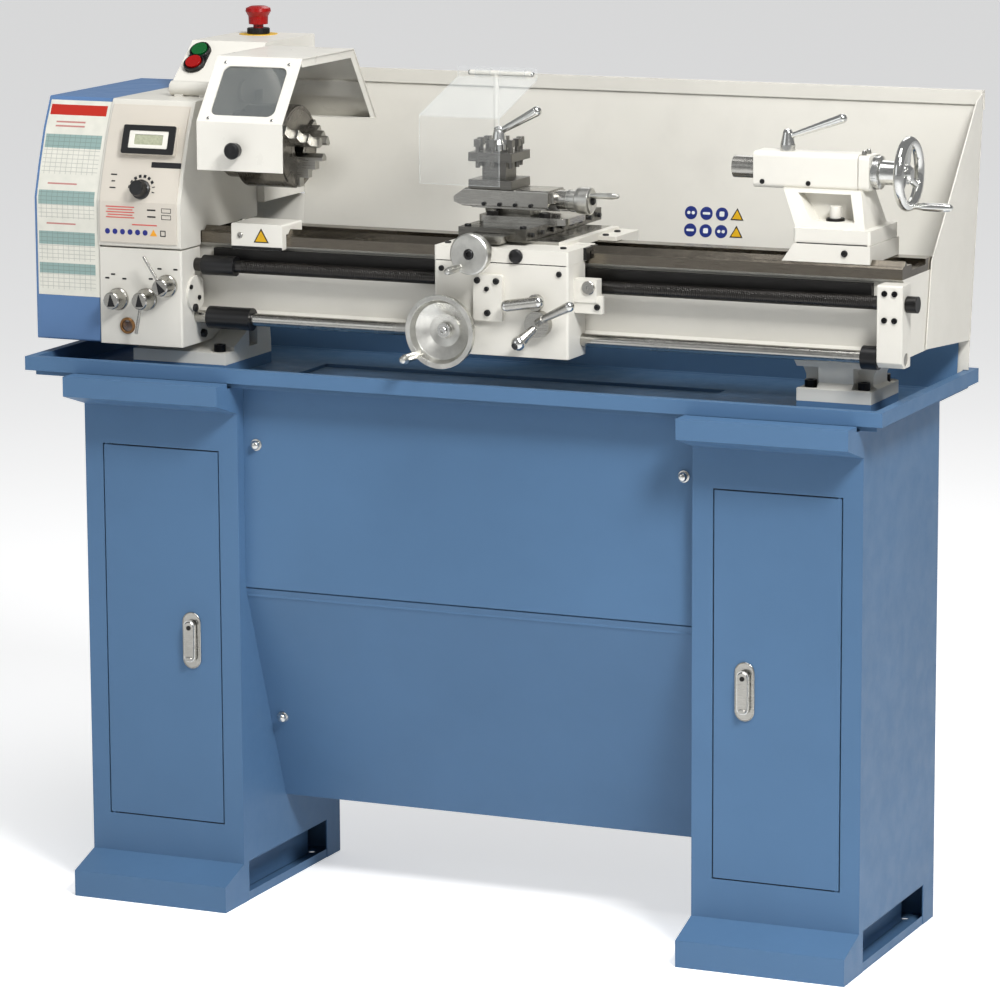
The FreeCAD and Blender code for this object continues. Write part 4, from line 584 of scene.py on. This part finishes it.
def make_panel_marks():
    """Generic printed marks of the panel: bars, dial arc, rules, boxes, plain discs and a triangle."""
    ink = printed("panel_ink", srgb(24, 24, 28))
    lower = front_plane(0.0, HEAD_FACE[0][0] - PANEL_RISE, 0.0)

    bm = bmesh.new()
    slab(bm, facet_plane(1, -0.49, 0.008, PANEL_RISE), box_outline(0.05, 0.0085, 0.001), FILM)
    for height, width in ((0.0, 0.01), (-0.01, 0.006), (-0.02, 0.01)):
        slab(bm, facet_plane(0, -0.576, 0.04 + height, PANEL_RISE), box_outline(width, 0.0018), FILM)
    knob = facet_plane(0, -0.527, 0.0188, PANEL_RISE)
    for step in range(9):
        a = radians(-10 + 22.5 * step)
        away = knob.across * cos(a) + knob.up * sin(a)
        dial = Plane(knob.origin + away * 0.0205, away, knob.up * cos(a) - knob.across * sin(a))
        slab(bm, dial, box_outline(0.0045, 0.0045 if step > 1 else 0.0014), FILM)
    piece("panel_legend", bm, ink)

    bm = bmesh.new()
    for row in range(5):
        rule = box_outline(0.048 - 0.006 * (row % 2), 0.0016)
        slab(bm, lower, rule, FILM, shift=(-0.561, 1.057 - 0.004 * row))
    slab(bm, lower, box_outline(0.042, 0.0018), FILM, shift=(-0.52, 1.031))
    piece("panel_red_rules", bm, printed("panel_red", srgb(204, 92, 84)))

    bm = bmesh.new()
    for z in (1.054, 1.044):
        slab(bm, lower, box_outline(0.014, 0.0022), FILM, shift=(-0.508, z))
        cell = front_plane(-0.483, lower.origin.y, z)
        frame_slab(bm, cell, box_outline(0.016, 0.007), box_outline(0.0145, 0.0055), FILM)
    piece("panel_boxes", bm, ink)

    bm = bmesh.new()
    for index in range(6):
        slab(bm, lower, disc_outline(0.0042, 24), FILM, shift=(-0.583 + 0.0128 * index, 1.0195))
    piece("panel_discs", bm, printed("panel_navy", srgb(34, 42, 120)))
    solid("panel_triangle", printed("panel_amber", srgb(226, 156, 40)), slab, lower,
          [(-0.006, -0.0045), (0.006, -0.0045), (0.0, 0.0055)], FILM, shift=(-0.505, 1.0195))
    solid("panel_square", ink, frame_slab, front_plane(-0.489, lower.origin.y, 1.0195),
          box_outline(0.009, 0.009), box_outline(0.0065, 0.0065), FILM)


def make_gearbox_dress():
    """Pointers on the selector knobs, the oil sight glass and plain position marks."""
    ink = printed("pointer_black", srgb(16, 16, 18), 0.35)
    for name, tilt in (("left", 4), ("middle", 4), ("right", 30)):
        knob = "gear_knob_" + name
        x, _, z = next(j for j in frame["joints"] if j["name"] == knob + "_turn")["pos_m"]
        c, s = cos(radians(tilt)), sin(radians(tilt))
        solid(knob + "_pointer", ink, slab, Plane((x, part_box(knob)[0].y, z), (c, 0, s), (-s, 0, c)),
              [(-0.0062, -0.0085), (0.0062, -0.0085), (0.0, 0.0105)], 0.0005, base=0.0001, body=knob)

    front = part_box("feed_gearbox")[0].y
    sight = (-0.5526, front, 0.877)
    rim = [(0, 0.0085), (0, 0.0125), (0.002, 0.0125), (0.003, 0.0115), (0.003, 0.009), (0.0015, 0.0085),
           (0, 0.0085)]
    brass = finish("sight_brass", steel(srgb(150, 112, 74), rough=0.3, grain=(1, 1, 1)))
    solid("sight_glass_rim", brass, turn, rim, sight, (0, -1, 0), 40)
    g = Graph("sight_oil")
    tone = g.mix(g.span(g.noise(120.0), 0.4, 0.6), srgb(58, 34, 22), srgb(96, 66, 38))
    g.set(Base_Color=tone, Roughness=0.08, Coat_Weight=1.0)
    pane = [(0, 0), (0, 0.0085), (0.0012, 0.0085), (0.0016, 0.006), (0.0018, 0)]
    solid("sight_glass", g.material, turn, pane, sight, (0, -1, 0), 40)

    bm = bmesh.new()
    for x, z in ((-0.586, 0.948), (-0.576, 0.954), (-0.557, 0.948), (-0.497, 0.966), (-0.47, 0.966),
                 (-0.512, 0.95)):
        slab(bm, front_plane(x, front, z), box_outline(0.007, 0.0026, 0.0005, 2), FILM)
    piece("gearbox_marks", bm, ink)


# ---------------------------------------------------------------- guard, cabinet and stand
def ring_slab(bm, plane, outer, r, thickness, hole=(0.0, 0.0), base=0.0):
    """Slab with a round hole."""
    inner = []
    for a, b in outer:
        t = atan2(b - hole[1], a - hole[0])
        inner.append((hole[0] + r * cos(t), hole[1] + r * sin(t)))
    frame_slab(bm, plane, outer, inner, thickness, base)


def ball(bm, centre, r, rings=10, steps=24):
    """Closed sphere."""
    angles = [pi * i / rings for i in range(rings + 1)]
    turn(bm, [(-r * cos(t), r * sin(t)) for t in angles], centre, (0, 0, 1), steps)


def slope_plane(x, rise, start, end):
    """Plane on a sloping sheet given by two (y, z) points, at a distance up it."""
    low, high = (Vector((x, *p)) for p in (start, end))
    up = (high - low).normalized()
    return Plane(low + up * rise, (1, 0, 0), up)


def make_guard_screws():
    """Pan head screws at the corners of the hood's window."""
    bm = bmesh.new()
    for x in (-0.401, -0.296):
        for rise in (0.006, 0.1035):
            plane = slope_plane(x, rise, *HOOD_SLOPE)
            turn(bm, [(0, 0), (0, 0.0028), (0.0009, 0.0026), (0.0014, 0.0016), (0.0015, 0)],
                 plane.origin, plane.out, 20)
    piece("window_screws", bm, "chrome_trim", "chuck_guard")


def make_hood_inside():
    """Stiffening rail across the hood's back, and the turned-in flanges of its open right end."""
    solid("hood_back_rail", "guard_white", ribbon,
          [(0.1335, 1.233), (0.129, 1.23), (0.1465, 1.205), (0.1512, 1.2075)], (-0.4165, -0.2815), 0.0012,
          body="chuck_guard", bevel=0.0004)
    outer = [(-0.0745, 1.2822), (0.099, 1.2822), (0.1765, 1.1708)]
    inner = [(-0.0745, 1.2702), (0.0925, 1.2702), (0.161, 1.172)]
    bm = bmesh.new()
    for index in range(2):
        bar(bm, [outer[index], outer[index + 1], inner[index + 1], inner[index]], (-0.2795, -0.281))
    piece("hood_end_flanges", bm, "guard_white", "chuck_guard", bevel=0.0004)
    solid("hood_bottom_flange", "guard_white", ribbon,
          [(0.15, 1.1745), (0.1765, 1.172)], (-0.4165, -0.2782), -0.0016, body="chuck_guard", bevel=0.0004)


def make_tray_sheets():
    """Upstand at the tray's back, shallow chip pan, and the guard's run behind the headstock."""
    solid("tray_back_upstand", "tray_blue", ribbon,
          [(0.218, 0.8005), (0.227, 0.8005), (0.236, 0.872), (0.2385, 0.8722)], (-0.585, 0.64), -0.0012,
          bevel=0.0004)
    solid("chip_pan", "tray_blue", ribbon,
          [(-0.105, 0.8), (-0.1035, 0.7945), (0.0915, 0.7945), (0.093, 0.8)], (-0.3265, 0.3265), 0.0012)
    solid("splash_guard_run", "guard_white", ribbon,
          [(0.2345, 0.802), (0.2665, 1.0375)], (-0.585, -0.4458), 0.0015)


def make_desk_plate():
    """Bridge between the start and stop buttons, with a raised rim round each."""
    for name, rise in (("start", 0.082), ("stop", 0.055)):
        plane = slope_plane(BUTTONS_X, rise, DESK_LOW, DESK_HIGH)
        solid(f"{name}_button_rim", "black_plastic", frame_slab, plane, disc_outline(0.0165, 40),
              disc_outline(0.014, 40), 0.0052, base=0.0028, bevel=0.0006)
    solid("button_bridge", "black_plastic", slab, slope_plane(BUTTONS_X, 0.0685, DESK_LOW, DESK_HIGH),
          box_outline(0.033, 0.034, 0.004), 0.0028, soft=0.0006)


def make_emergency_ring():
    """Knurled collar ring and yellow backing disc under the emergency stop."""
    origin = Vector((-0.526, 0.272, 1.284))
    yellow = printed("warning_yellow", srgb(214, 168, 30), edge=0.6)
    solid("emergency_backing", yellow, turn,
          [(0, 0.0172), (0, 0.03), (0.0008, 0.03), (0.0008, 0.0172), (0, 0.0172)], origin, (0, 0, 1), 56)
    bm = bmesh.new()
    for i in range(24):
        t = 2 * pi * i / 24
        side = Vector((cos(t), sin(t), 0))
        foot = origin + side * 0.0168 + Vector((0, 0, 0.0055))
        rib = Plane(foot, (-sin(t), cos(t), 0), (0, 0, 1))
        slab(bm, rib, box_outline(0.0018, 0.0075, 0.0004, 2), 0.001)
    piece("emergency_collar_ribs", bm, "black_plastic")


def make_cabinet_back():
    """Louvres, cover screws and a cable gland on the back of the control cabinet."""
    bm = bmesh.new()
    for row in range(6):
        y, z = CABINET_BACK_Y, 1.085 + 0.013 * row
        louvre = [(y, z + 0.0045), (y + 0.0035, z + 0.0035), (y + 0.0045, z), (y, z - 0.001)]
        bar(bm, louvre, (-0.552, -0.471))
    piece("cabinet_louvres", bm, "control_cabinet")
    bm = bmesh.new()
    for x in (-0.566, -0.457):
        for z in (1.05, 1.274):
            turn(bm, [(0, 0), (0, 0.004), (0.0012, 0.0037), (0.002, 0.002), (0.0022, 0)],
                 (x, CABINET_BACK_Y, z), (0, 1, 0), 20)
    piece("cabinet_screws", bm, "chrome_trim")
    bm = bmesh.new()
    outlet = (-0.5115, CABINET_BACK_Y, 1.06)
    turn(bm, [(0, 0), (0, 0.012), (0.005, 0.012), (0.006, 0.01), (0.014, 0.0085), (0.016, 0.006), (0.016, 0)],
         outlet, (0, 1, 0), 6)
    turn(bm, [(0.013, 0), (0.013, 0.0045), (0.024, 0.0045), (0.024, 0)], outlet, (0, 1, 0), 24)
    piece("cable_gland", bm, "black_plastic")


def make_latch_plates():
    """Oval chrome plates that the door latches turn in, with a raised rim, and the latches' faces."""
    for side, x in (("left", -LATCH_X), ("right", LATCH_X)):
        plane = front_plane(x, -0.136, LATCH_Z)
        solid(f"{side}_latch_plate", "bright_steel", ring_slab, plane, box_outline(0.03, 0.087, 0.0149, 8),
              0.0083, 0.002, hole=(0.0, 0.002), body=f"{side}_door", bevel=0.0004)
        solid(f"{side}_latch_rim", "bright_steel", frame_slab, plane, box_outline(0.0305, 0.0875, 0.0152, 8),
              box_outline(0.0265, 0.0835, 0.0132, 8), 0.0026, body=f"{side}_door", bevel=0.001)
        bm = bmesh.new()
        slab(bm, front_plane(x, -0.146, LATCH_Z), box_outline(0.0165, 0.062, 0.0082, 8), 0.0022, base=-0.0004,
             soft=0.0018)
        slab(bm, front_plane(x, -0.148, 0.376), box_outline(0.011, 0.006, 0.0029, 6), 0.0022, base=-0.0002,
             soft=0.0008)
        piece(f"{side}_latch_face", bm, "bright_steel", f"{side}_door_latch")
        solid(f"{side}_latch_keyway", "dark_steel", turn,
              [(0, 0), (0, 0.0036), (0.0006, 0.0036), (0.0006, 0)], (x, -0.148, 0.424), (0, -1, 0), 24,
              body=f"{side}_door_latch")


def make_panel_nuts():
    """Domed nuts with washers over the front panels' screws."""
    angles = [radians(a) for a in (10, 30, 50, 70)]
    dome = [(0.0062 + 0.0042 * sin(a), 0.0066 * cos(a)) for a in angles]
    bm = bmesh.new()
    for x in (-0.344, 0.344):
        for origin, axis in (((x, -0.115, 0.707), (0, -1, 0)), ((x, -0.0388, 0.2724), (0, -0.9414, -0.3372))):
            turn(bm, [(0, 0), (0, 0.0092), (0.0014, 0.0088), (0.0016, 0)], origin, axis, 32)
            turn(bm, [(0.0058, 0), (0.0058, 0.007), *dome, (0.0104, 0)], origin, axis, 32)
    piece("panel_nuts", bm, "chrome_trim")


def make_seals():
    """Rubber strips behind the door gaps and the blue lap strip behind the front panels' joint."""
    low, high, hinge, lock = (0.1125, 0.1216), (0.6954, 0.7045), 0.58, 0.391
    for side, sign in (("left", -1), ("right", 1)):
        bm = bmesh.new()
        for x0, x1, z0, z1 in ((hinge, lock, *low), (hinge, lock, *high), (0.3986, lock, low[1], high[0])):
            plane = front_plane(sign * (x0 + x1) / 2, -0.1312, (z0 + z1) / 2)
            slab(bm, plane, box_outline(abs(x0 - x1), z1 - z0), 0.0024)
        piece(f"{side}_door_seal", bm, "belt_rubber")
    solid("panel_lap_strip", "stand_blue", slab,
          front_plane(0.0, -0.1125, 0.487), box_outline(0.728, 0.026), 0.0006, base=-0.0012)


def make_plinths():
    """Floor pan, low side rails, set-back walls and roof of each pedestal's kick space."""
    front, back, half, top = -0.1195, 0.1515, 0.129, 0.0622
    middle, length = (front + back) / 2, back - front
    for side, sign in (("left", -1), ("right", 1)):
        x = sign * 0.4945
        bm = bmesh.new()
        for z in (0.0002, top - 0.0012):
            slab(bm, Plane((x, middle, z), (1, 0, 0), (0, 1, 0)), box_outline(2 * half, length), 0.0014)
        for edge in (-1, 1):
            for inset, z, height in ((0.0009, 0.0072, 0.0128), (0.034, 0.0322, 0.0588)):
                upright = Plane((x + edge * (half - inset), middle, z), (0, 1, 0), (0, 0, 1))
                slab(bm, upright, box_outline(length, height), 0.0007)
        piece(f"{side}_plinth", bm, "stand_blue")


def make_pictograms():
    """Blue discs and yellow triangles with plain shapes on the splash guard."""
    colours = {"blue": (30, 46, 116), "yellow": (214, 166, 20), "white": (226, 228, 226),
               "black": (22, 22, 22)}
    navy, amber, pale, ink = (printed("sign_" + name, srgb(*rgb), 0.4, 0.6) for name, rgb in colours.items())
    (_, foot), (_, top) = SPLASH_GUARD

    def sign(x, z):
        return slope_plane(x, (z - foot) / (top - foot) * dist(*SPLASH_GUARD), *SPLASH_GUARD)

    columns, rows = (0.2045, 0.2295, 0.2545, 0.279), (1.0375, 1.0115)
    discs, marks, triangles, borders = (bmesh.new() for _ in range(4))
    for row, z in enumerate(rows):
        for column, x in enumerate(columns[:3]):
            slab(discs, sign(x, z), disc_outline(0.01, 40), FILM)
            kind = (column + row) % 3
            if kind == 0:
                for shift in (-0.0036, 0.0036):
                    slab(marks, sign(x + shift, z), disc_outline(0.0025, 24), 0.0006)
            elif kind == 1:
                slab(marks, sign(x, z), box_outline(0.012, 0.0036, 0.0014), 0.0006)
            else:
                slab(marks, sign(x, z), box_outline(0.0078, 0.0078, 0.002), 0.0006)
        corner = [(-0.0105, -0.008), (0.0105, -0.008), (0.0, 0.01)]
        inner = [(-0.008, -0.0066), (0.008, -0.0066), (0.0, 0.0072)]
        slab(triangles, sign(columns[3], z), corner, FILM)
        frame_slab(borders, sign(columns[3], z), corner, inner, 0.0006)
    piece("sign_discs", discs, navy)
    piece("sign_shapes", marks, pale)
    piece("sign_triangles", triangles, amber)
    piece("sign_borders", borders, ink)

    plane = front_plane(-0.352, SWITCH_Y, 1.0155)
    corner = [(-0.0125, -0.0095), (0.0125, -0.0095), (0.0, 0.012)]
    inner = [(-0.01, -0.0081), (0.01, -0.0081), (0.0, 0.009)]
    solid("switch_triangle", amber, slab, plane, corner, FILM)
    solid("switch_triangle_border", ink, frame_slab, plane, corner, inner, 0.0006)
    solid("switch_screw", "bright_steel", socket_screw, front_plane(-0.387, SWITCH_Y, 1.016), 0.0045, 0.0025)
    solid("switch_base_seal", "black_plastic", slab, front_plane(-0.3595, SWITCH_Y, 0.9975),
          box_outline(0.084, 0.0045, 0.001, 2), 0.001)


# ---------------------------------------------------------------- screws, dials and levers
def make_thread():
    """Trapezoidal thread wound along the leadscrew."""
    pitch, start, end, steps = 0.003, -0.379, 0.617, 18
    profile = [(-0.0012, 0.0088), (-0.00055, 0.01), (0.00055, 0.01), (0.0012, 0.0088)]
    rows = []
    for i in range(int((end - start) / pitch * steps)):
        t = 2 * pi * i / steps
        centre = start + pitch * i / steps
        rows.append([(centre + dx, LEADSCREW_Y + r * cos(t), LEADSCREW_Z + r * sin(t))
                     for dx, r in profile])
    solid("leadscrew_thread", "leadscrew", skin, rows, body="leadscrew", sharp=50)


def dial_ticks(name, origin, axis, r, reach, count, body):
    """Graduation lines around a dial; every fifth line is longer."""
    w = Vector(axis)
    bm = bmesh.new()
    for i, out in enumerate(spokes(axis, count)):
        length = (reach[1] - reach[0]) * (0.6 if i % 5 else 1.0)
        middle = reach[0] + length / 2
        plane = Plane(Vector(origin) + w * middle + out * (r - 0.0004), w, out.cross(w))
        slab(bm, plane, box_outline(length, 0.00035), 0.0006)
    piece(name, bm, INK, body)


def make_dials():
    """Graduations of the three handwheel dials."""
    for slide, origin, axis, r, reach, count, body in (
            ("cross", (0.035, -0.131, 1.021), (0, -1, 0), 0.01645, (0.002, 0.0085), 50, "cross_slide"),
            ("top", (0.1125, 0.008, 1.082), (1, 0, 0), 0.015, (0.001, 0.007), 40, "top_slide"),
            ("tail", (0.5865, 0.008, 1.143), (1, 0, 0), 0.024, (0.001, 0.008), 60, "tailstock")):
        dial_ticks(slide + "_dial_lines", origin, axis, r, reach, count, body + "_handwheel")


def make_wheel_centres():
    """Centre screws of the handwheels and the grips' end screws."""
    solid("cross_wheel_screw", "black_plastic", socket_screw,
          front_plane(0.035, -0.175, 1.021), 0.0072, 0.006, body="cross_slide_handwheel")
    bm = bmesh.new()
    socket_screw(bm, front_plane(-0.019, -0.149, 0.903), 0.006, 0.0045)
    turn(bm, [(0, 0.0062), (0, 0.0098), (0.0012, 0.0098), (0.0012, 0.0062), (0, 0.0062)],
         (-0.019, -0.149, 0.903), (0, -1, 0), 40)
    piece("carriage_wheel_screw", bm, "chrome_trim", "carriage_handwheel")
    solid("tail_wheel_cap", "chrome_trim", turn,
          [(0, 0), (0, 0.012), (0.002, 0.012), (0.006, 0.009), (0.0075, 0)],
          (0.6365, 0.008, 1.143), (1, 0, 0), 40, body="tailstock_handwheel")
    solid("top_wheel_cap", "black_plastic", turn,
          [(0, 0), (0, 0.006), (0.0015, 0.006), (0.004, 0.004), (0.0045, 0)],
          (0.1505, 0.008, 1.082), (1, 0, 0), 32, body="top_slide_handwheel")


def make_lever_ends():
    """Rounded ends of the levers and the ball of the half-nut lever."""
    for name, centre, r, body in (
            ("quill_lock_tip", (0.538, 0.004, 1.2183), 0.0068, "quill_lock_lever"),
            ("post_lever_tip", (0.064, 0.003, 1.2108), 0.0075, "tool_post_lever"),
            ("half_nut_tip", (0.188, -0.168, 0.952), 0.0075, "half_nut_lever"),
            ("half_nut_ball", (0.1035, -0.1565, 0.8925), 0.0108, "half_nut_lever"),
            ("feed_tip_left", (0.082, -0.15, 0.945), 0.0085, "feed_lever"),
            ("feed_tip_right", (0.132, -0.15, 0.953), 0.0085, "feed_lever"),
            ("shield_rod_end", (0.02, 0.088, 1.256), 0.004, "cross_slide"),
            ("shield_rod_tip", (-0.08, 0.088, 1.256), 0.004, "cross_slide")):
        solid(name, "chrome_trim", ball, centre, r, body=body)
    solid("half_nut_ball_plug", "black_plastic", turn,
          [(0, 0), (0, 0.0055), (0.0014, 0.0052), (0.002, 0.003), (0.0022, 0)],
          (0.1012, -0.1655, 0.889), (-0.35, -0.85, -0.4), 28, body="half_nut_lever")


def make_apron_dress():
    """Screws of the apron, a painted shade line along its joint with the saddle, the oil plug of the saddle and
    the thread dial's face.
    """
    bm = bmesh.new()
    for x, z in ((0.03, 0.978), (0.06, 0.978), (0.046, 0.931)):
        socket_screw(bm, front_plane(x, -0.137, z), 0.0048, 0.0032)
    socket_screw(bm, front_plane(0.045, -0.137, 0.966), 0.0036, 0.0032)
    for x, z in ((-0.03, 0.992), (0.156, 0.992)):
        socket_screw(bm, front_plane(x, APRON_Y, z), 0.0042, 0.0026)
    socket_screw(bm, front_plane(0.2065, -0.108, 0.944), 0.0045, 0.003)
    piece("apron_screws", bm, "black_plastic", "carriage")
    # Painted shade: a dark flush strip along the saddle and apron joint, standing in for the shadow and gap there.
    solid("apron_joint_shade_line", INK, slab,
          front_plane(0.064, APRON_Y, 1.004), box_outline(0.205, 0.0014), 0.0005, base=-0.0005,
          body="carriage")
    solid("saddle_plug", "black_plastic", turn,
          [(0, 0), (0, 0.0105), (0.003, 0.0105), (0.0055, 0.0085), (0.0065, 0.005), (0.0068, 0)],
          (0.0885, APRON_Y, 1.015), (0, -1, 0), 40, body="carriage")
    solid("thread_dial_face", "bright_steel", turn,
          [(0, 0), (0, 0.01), (0.002, 0.01), (0.003, 0.009), (0.003, 0.003), (0.0022, 0.0025), (0.0022, 0)],
          (0.1935, -0.11, 0.972), (0, -1, 0), 40, body="carriage")
    dial_ticks("thread_dial_lines", (0.1935, -0.11, 0.972), (0, -1, 0), 0.01, (0.0004, 0.0018), 16,
               "carriage")
    bm = bmesh.new()
    for y in (-0.1, -0.05, 0.06, 0.105):
        for x in (-0.033, 0.15):
            if x > 0.1 and -0.09 < y < 0.0:
                continue
            socket_screw(bm, Plane((x, y, 1.025), (1, 0, 0), (0, 1, 0)), 0.0048, 0.0026)
    piece("saddle_screws", bm, "black_plastic", "carriage")


def make_slide_dress():
    """Gib screws of the top slide, clamp nuts of the swivel and screws of the cross slide."""
    bm = bmesh.new()
    for x in (-0.01, 0.015, 0.04, 0.065):
        turn(bm, [(0, 0), (0, 0.003), (0.0035, 0.0028), (0.004, 0)], (x, -0.0218, 1.0745), (0, -1, 0), 20)
    piece("top_slide_gib_screws", bm, "black_plastic", "top_slide")
    bm = bmesh.new()
    for x in (0.006, 0.09):
        nut = [(0, 0.0045), (0, 0.0095), (0.0055, 0.0095), (0.0065, 0.0085), (0.0065, 0.0045), (0, 0.0045)]
        turn(bm, nut, (x, -0.026, 1.0592), (0, 0, 1), 6)
    piece("swivel_nuts", bm, "dark_steel", "compound_base")
    bm = bmesh.new()
    for x in (-0.01, 0.078):
        for y in (-0.08, 0.11):
            socket_screw(bm, Plane((x, y, 1.049), (1, 0, 0), (0, 1, 0)), 0.005, 0.003)
    piece("cross_slide_screws", bm, "black_plastic", "cross_slide")


def make_gearbox_plug():
    """Round and hexagonal plugs on the gearbox's right side."""
    bm = bmesh.new()
    turn(bm, [(0, 0), (0, 0.0062), (0.003, 0.0062), (0.0042, 0.005), (0.0045, 0)], (-0.456, -0.092, 0.905),
         (1, 0, 0), 28)
    turn(bm, [(0, 0), (0, 0.007), (0.004, 0.007), (0.006, 0.0055), (0.0065, 0)], (-0.46, -0.06, 0.862),
         (1, 0, 0), 6)
    piece("gearbox_plugs", bm, "black_plastic")


def make_tailstock_dress():
    """Oil cups, set screws, clamp collar and the dark parting line of the tailstock."""
    bm = bmesh.new()
    for y in (-0.002, 0.018):
        turn(bm, [(0, 0), (0, 0.0035), (0.004, 0.0035), (0.007, 0.0025), (0.0078, 0)], (0.5735, y, 1.1678),
             (0, 0, 1), 20)
    piece("tail_oil_cups", bm, "bright_steel", "tailstock")
    bm = bmesh.new()
    turn(bm, [(0, 0.0082), (0, 0.0135), (0.004, 0.0135), (0.005, 0.0125), (0.005, 0.0082), (0, 0.0082)],
         (0.538, -0.022, 1.0742), (0, 0, 1), 40)
    slab(bm, front_plane(0.544, -0.054, 1.045), box_outline(0.106, 0.0022), 0.0012, base=-0.001)
    piece("tail_clamp_collar", bm, "dark_steel", "tailstock")
    bm = bmesh.new()
    socket_screw(bm, front_plane(0.564, -0.055, 1.033), 0.0048, 0.0028)
    for x in (0.425, 0.495):
        socket_screw(bm, front_plane(x, -0.018, 1.126), 0.0036, 0.0014)
    piece("tail_screws", bm, "black_plastic", "tailstock")


def make_chuck_face():
    """Raised rings turned on the chuck's face."""
    bm = bmesh.new()
    for r in (0.0235, 0.056):
        turn(bm, [(0, r), (0, r + 0.0016), (0.0006, r + 0.0013), (0.0006, r + 0.0003), (0, r)],
             (-0.3271, SPINDLE.y, SPINDLE.z), (1, 0, 0), 96)
    piece("chuck_face_rings", bm, "chuck_body", "spindle")


for make in (make_cover_label, make_display, make_panel_marks, make_gearbox_dress, make_guard_screws,
             make_hood_inside, make_tray_sheets, make_desk_plate, make_emergency_ring, make_cabinet_back,
             make_latch_plates, make_panel_nuts, make_seals, make_plinths, make_pictograms, make_thread,
             make_dials, make_wheel_centres, make_lever_ends, make_apron_dress, make_slide_dress,
             make_gearbox_plug, make_tailstock_dress, make_chuck_face):
    make()


# ---------------------------------------------------------------- studio
SKY_LIGHT, SKY_SHOWN = 0.29, 0.95
FLOOR_LIGHT, FLOOR_SHOWN, FLOOR_RADIUS = 0.16, 0.42, 40.0


def make_floor():
    """Wide pale floor."""
    mesh = bpy.data.meshes.new("studio_floor")
    bm = bmesh.new()
    bm.faces.new([bm.verts.new((x, y, 0.0)) for x, y in disc_outline(FLOOR_RADIUS, 64)])
    bm.to_mesh(mesh)
    floor = bpy.data.objects.new("studio_floor", mesh)
    bpy.context.collection.objects.link(floor)
    g = Graph("studio_floor")
    g.set(Base_Color=(0.94, 0.94, 0.94, 1), Roughness=g.span(g.noise(2.0), 0.3, 0.7, 0.55, 0.65))
    seen = g.add("LightPath").outputs["Is Camera Ray"]
    g.set(Emission_Color=(1, 1, 1, 1), Specular_IOR_Level=0.2,
          Emission_Strength=g.span(seen, 0.0, 1.0, FLOOR_LIGHT, FLOOR_SHOWN))
    mesh.materials.append(g.material)


def make_sky():
    """Soft even surroundings, shown white behind the machine."""
    world = bpy.data.worlds.new("studio")
    world.use_nodes = True
    tree = world.node_tree
    seen = tree.nodes.new("ShaderNodeLightPath")
    strength = tree.nodes.new("ShaderNodeMapRange")
    strength.inputs["To Min"].default_value = SKY_LIGHT
    strength.inputs["To Max"].default_value = SKY_SHOWN
    tree.links.new(seen.outputs["Is Camera Ray"], strength.inputs["Value"])
    background = tree.nodes["Background"]
    background.inputs["Color"].default_value = (0.94, 0.95, 0.96, 1)
    tree.links.new(strength.outputs[0], background.inputs["Strength"])
    bpy.context.scene.world = world
    bpy.context.scene.view_settings.view_transform = "Standard"


def outward(azimuth, elevation):
    """Direction from the machine to a place in the studio, from its angles in degrees."""
    a, e = radians(azimuth), radians(elevation)
    return Vector((sin(a) * cos(e), -cos(a) * cos(e), sin(e)))


def area_light(name, azimuth, elevation, distance, size, watts, colour=(1, 1, 1)):
    light = bpy.data.lights.new(name, "AREA")
    light.shape, light.size, light.energy, light.color = "DISK", size, watts, colour
    obj = bpy.data.objects.new(name, light)
    back = outward(azimuth, elevation)
    obj.location = CAMERA_TARGET + back * distance
    obj.rotation_mode = "QUATERNION"
    obj.rotation_quaternion = back.to_track_quat("Z", "Y")
    bpy.context.collection.objects.link(obj)


def make_lights():
    area_light("key", 48, 42, 4.4, 1.1, 160)
    area_light("fill", -34, 20, 4.8, 2.6, 18, (0.95, 0.98, 1.0))
    area_light("top", 20, 74, 3.8, 1.8, 60)
    area_light("rim", 190, 40, 4.0, 2.0, 20)


def make_camera():
    a, r = radians(CAMERA_AZIMUTH), radians(CAMERA_ROLL)
    back = outward(CAMERA_AZIMUTH, CAMERA_ELEVATION)
    right = Vector((cos(a), sin(a), 0.0))
    up = back.cross(right)
    side = right * cos(r) + up * sin(r)
    top = up * cos(r) - right * sin(r)
    data = bpy.data.cameras.new("camera")
    data.lens, data.sensor_width = CAMERA_LENS, 36.0
    data.clip_start, data.clip_end = 0.1, 60.0
    camera = bpy.data.objects.new("camera", data)
    rotation = Matrix((side, top, back)).transposed().to_4x4()
    camera.matrix_world = Matrix.Translation(CAMERA_TARGET + back * CAMERA_DISTANCE) @ rotation
    bpy.context.collection.objects.link(camera)
    bpy.context.scene.camera = camera


make_floor()
make_sky()
make_lights()
make_camera()
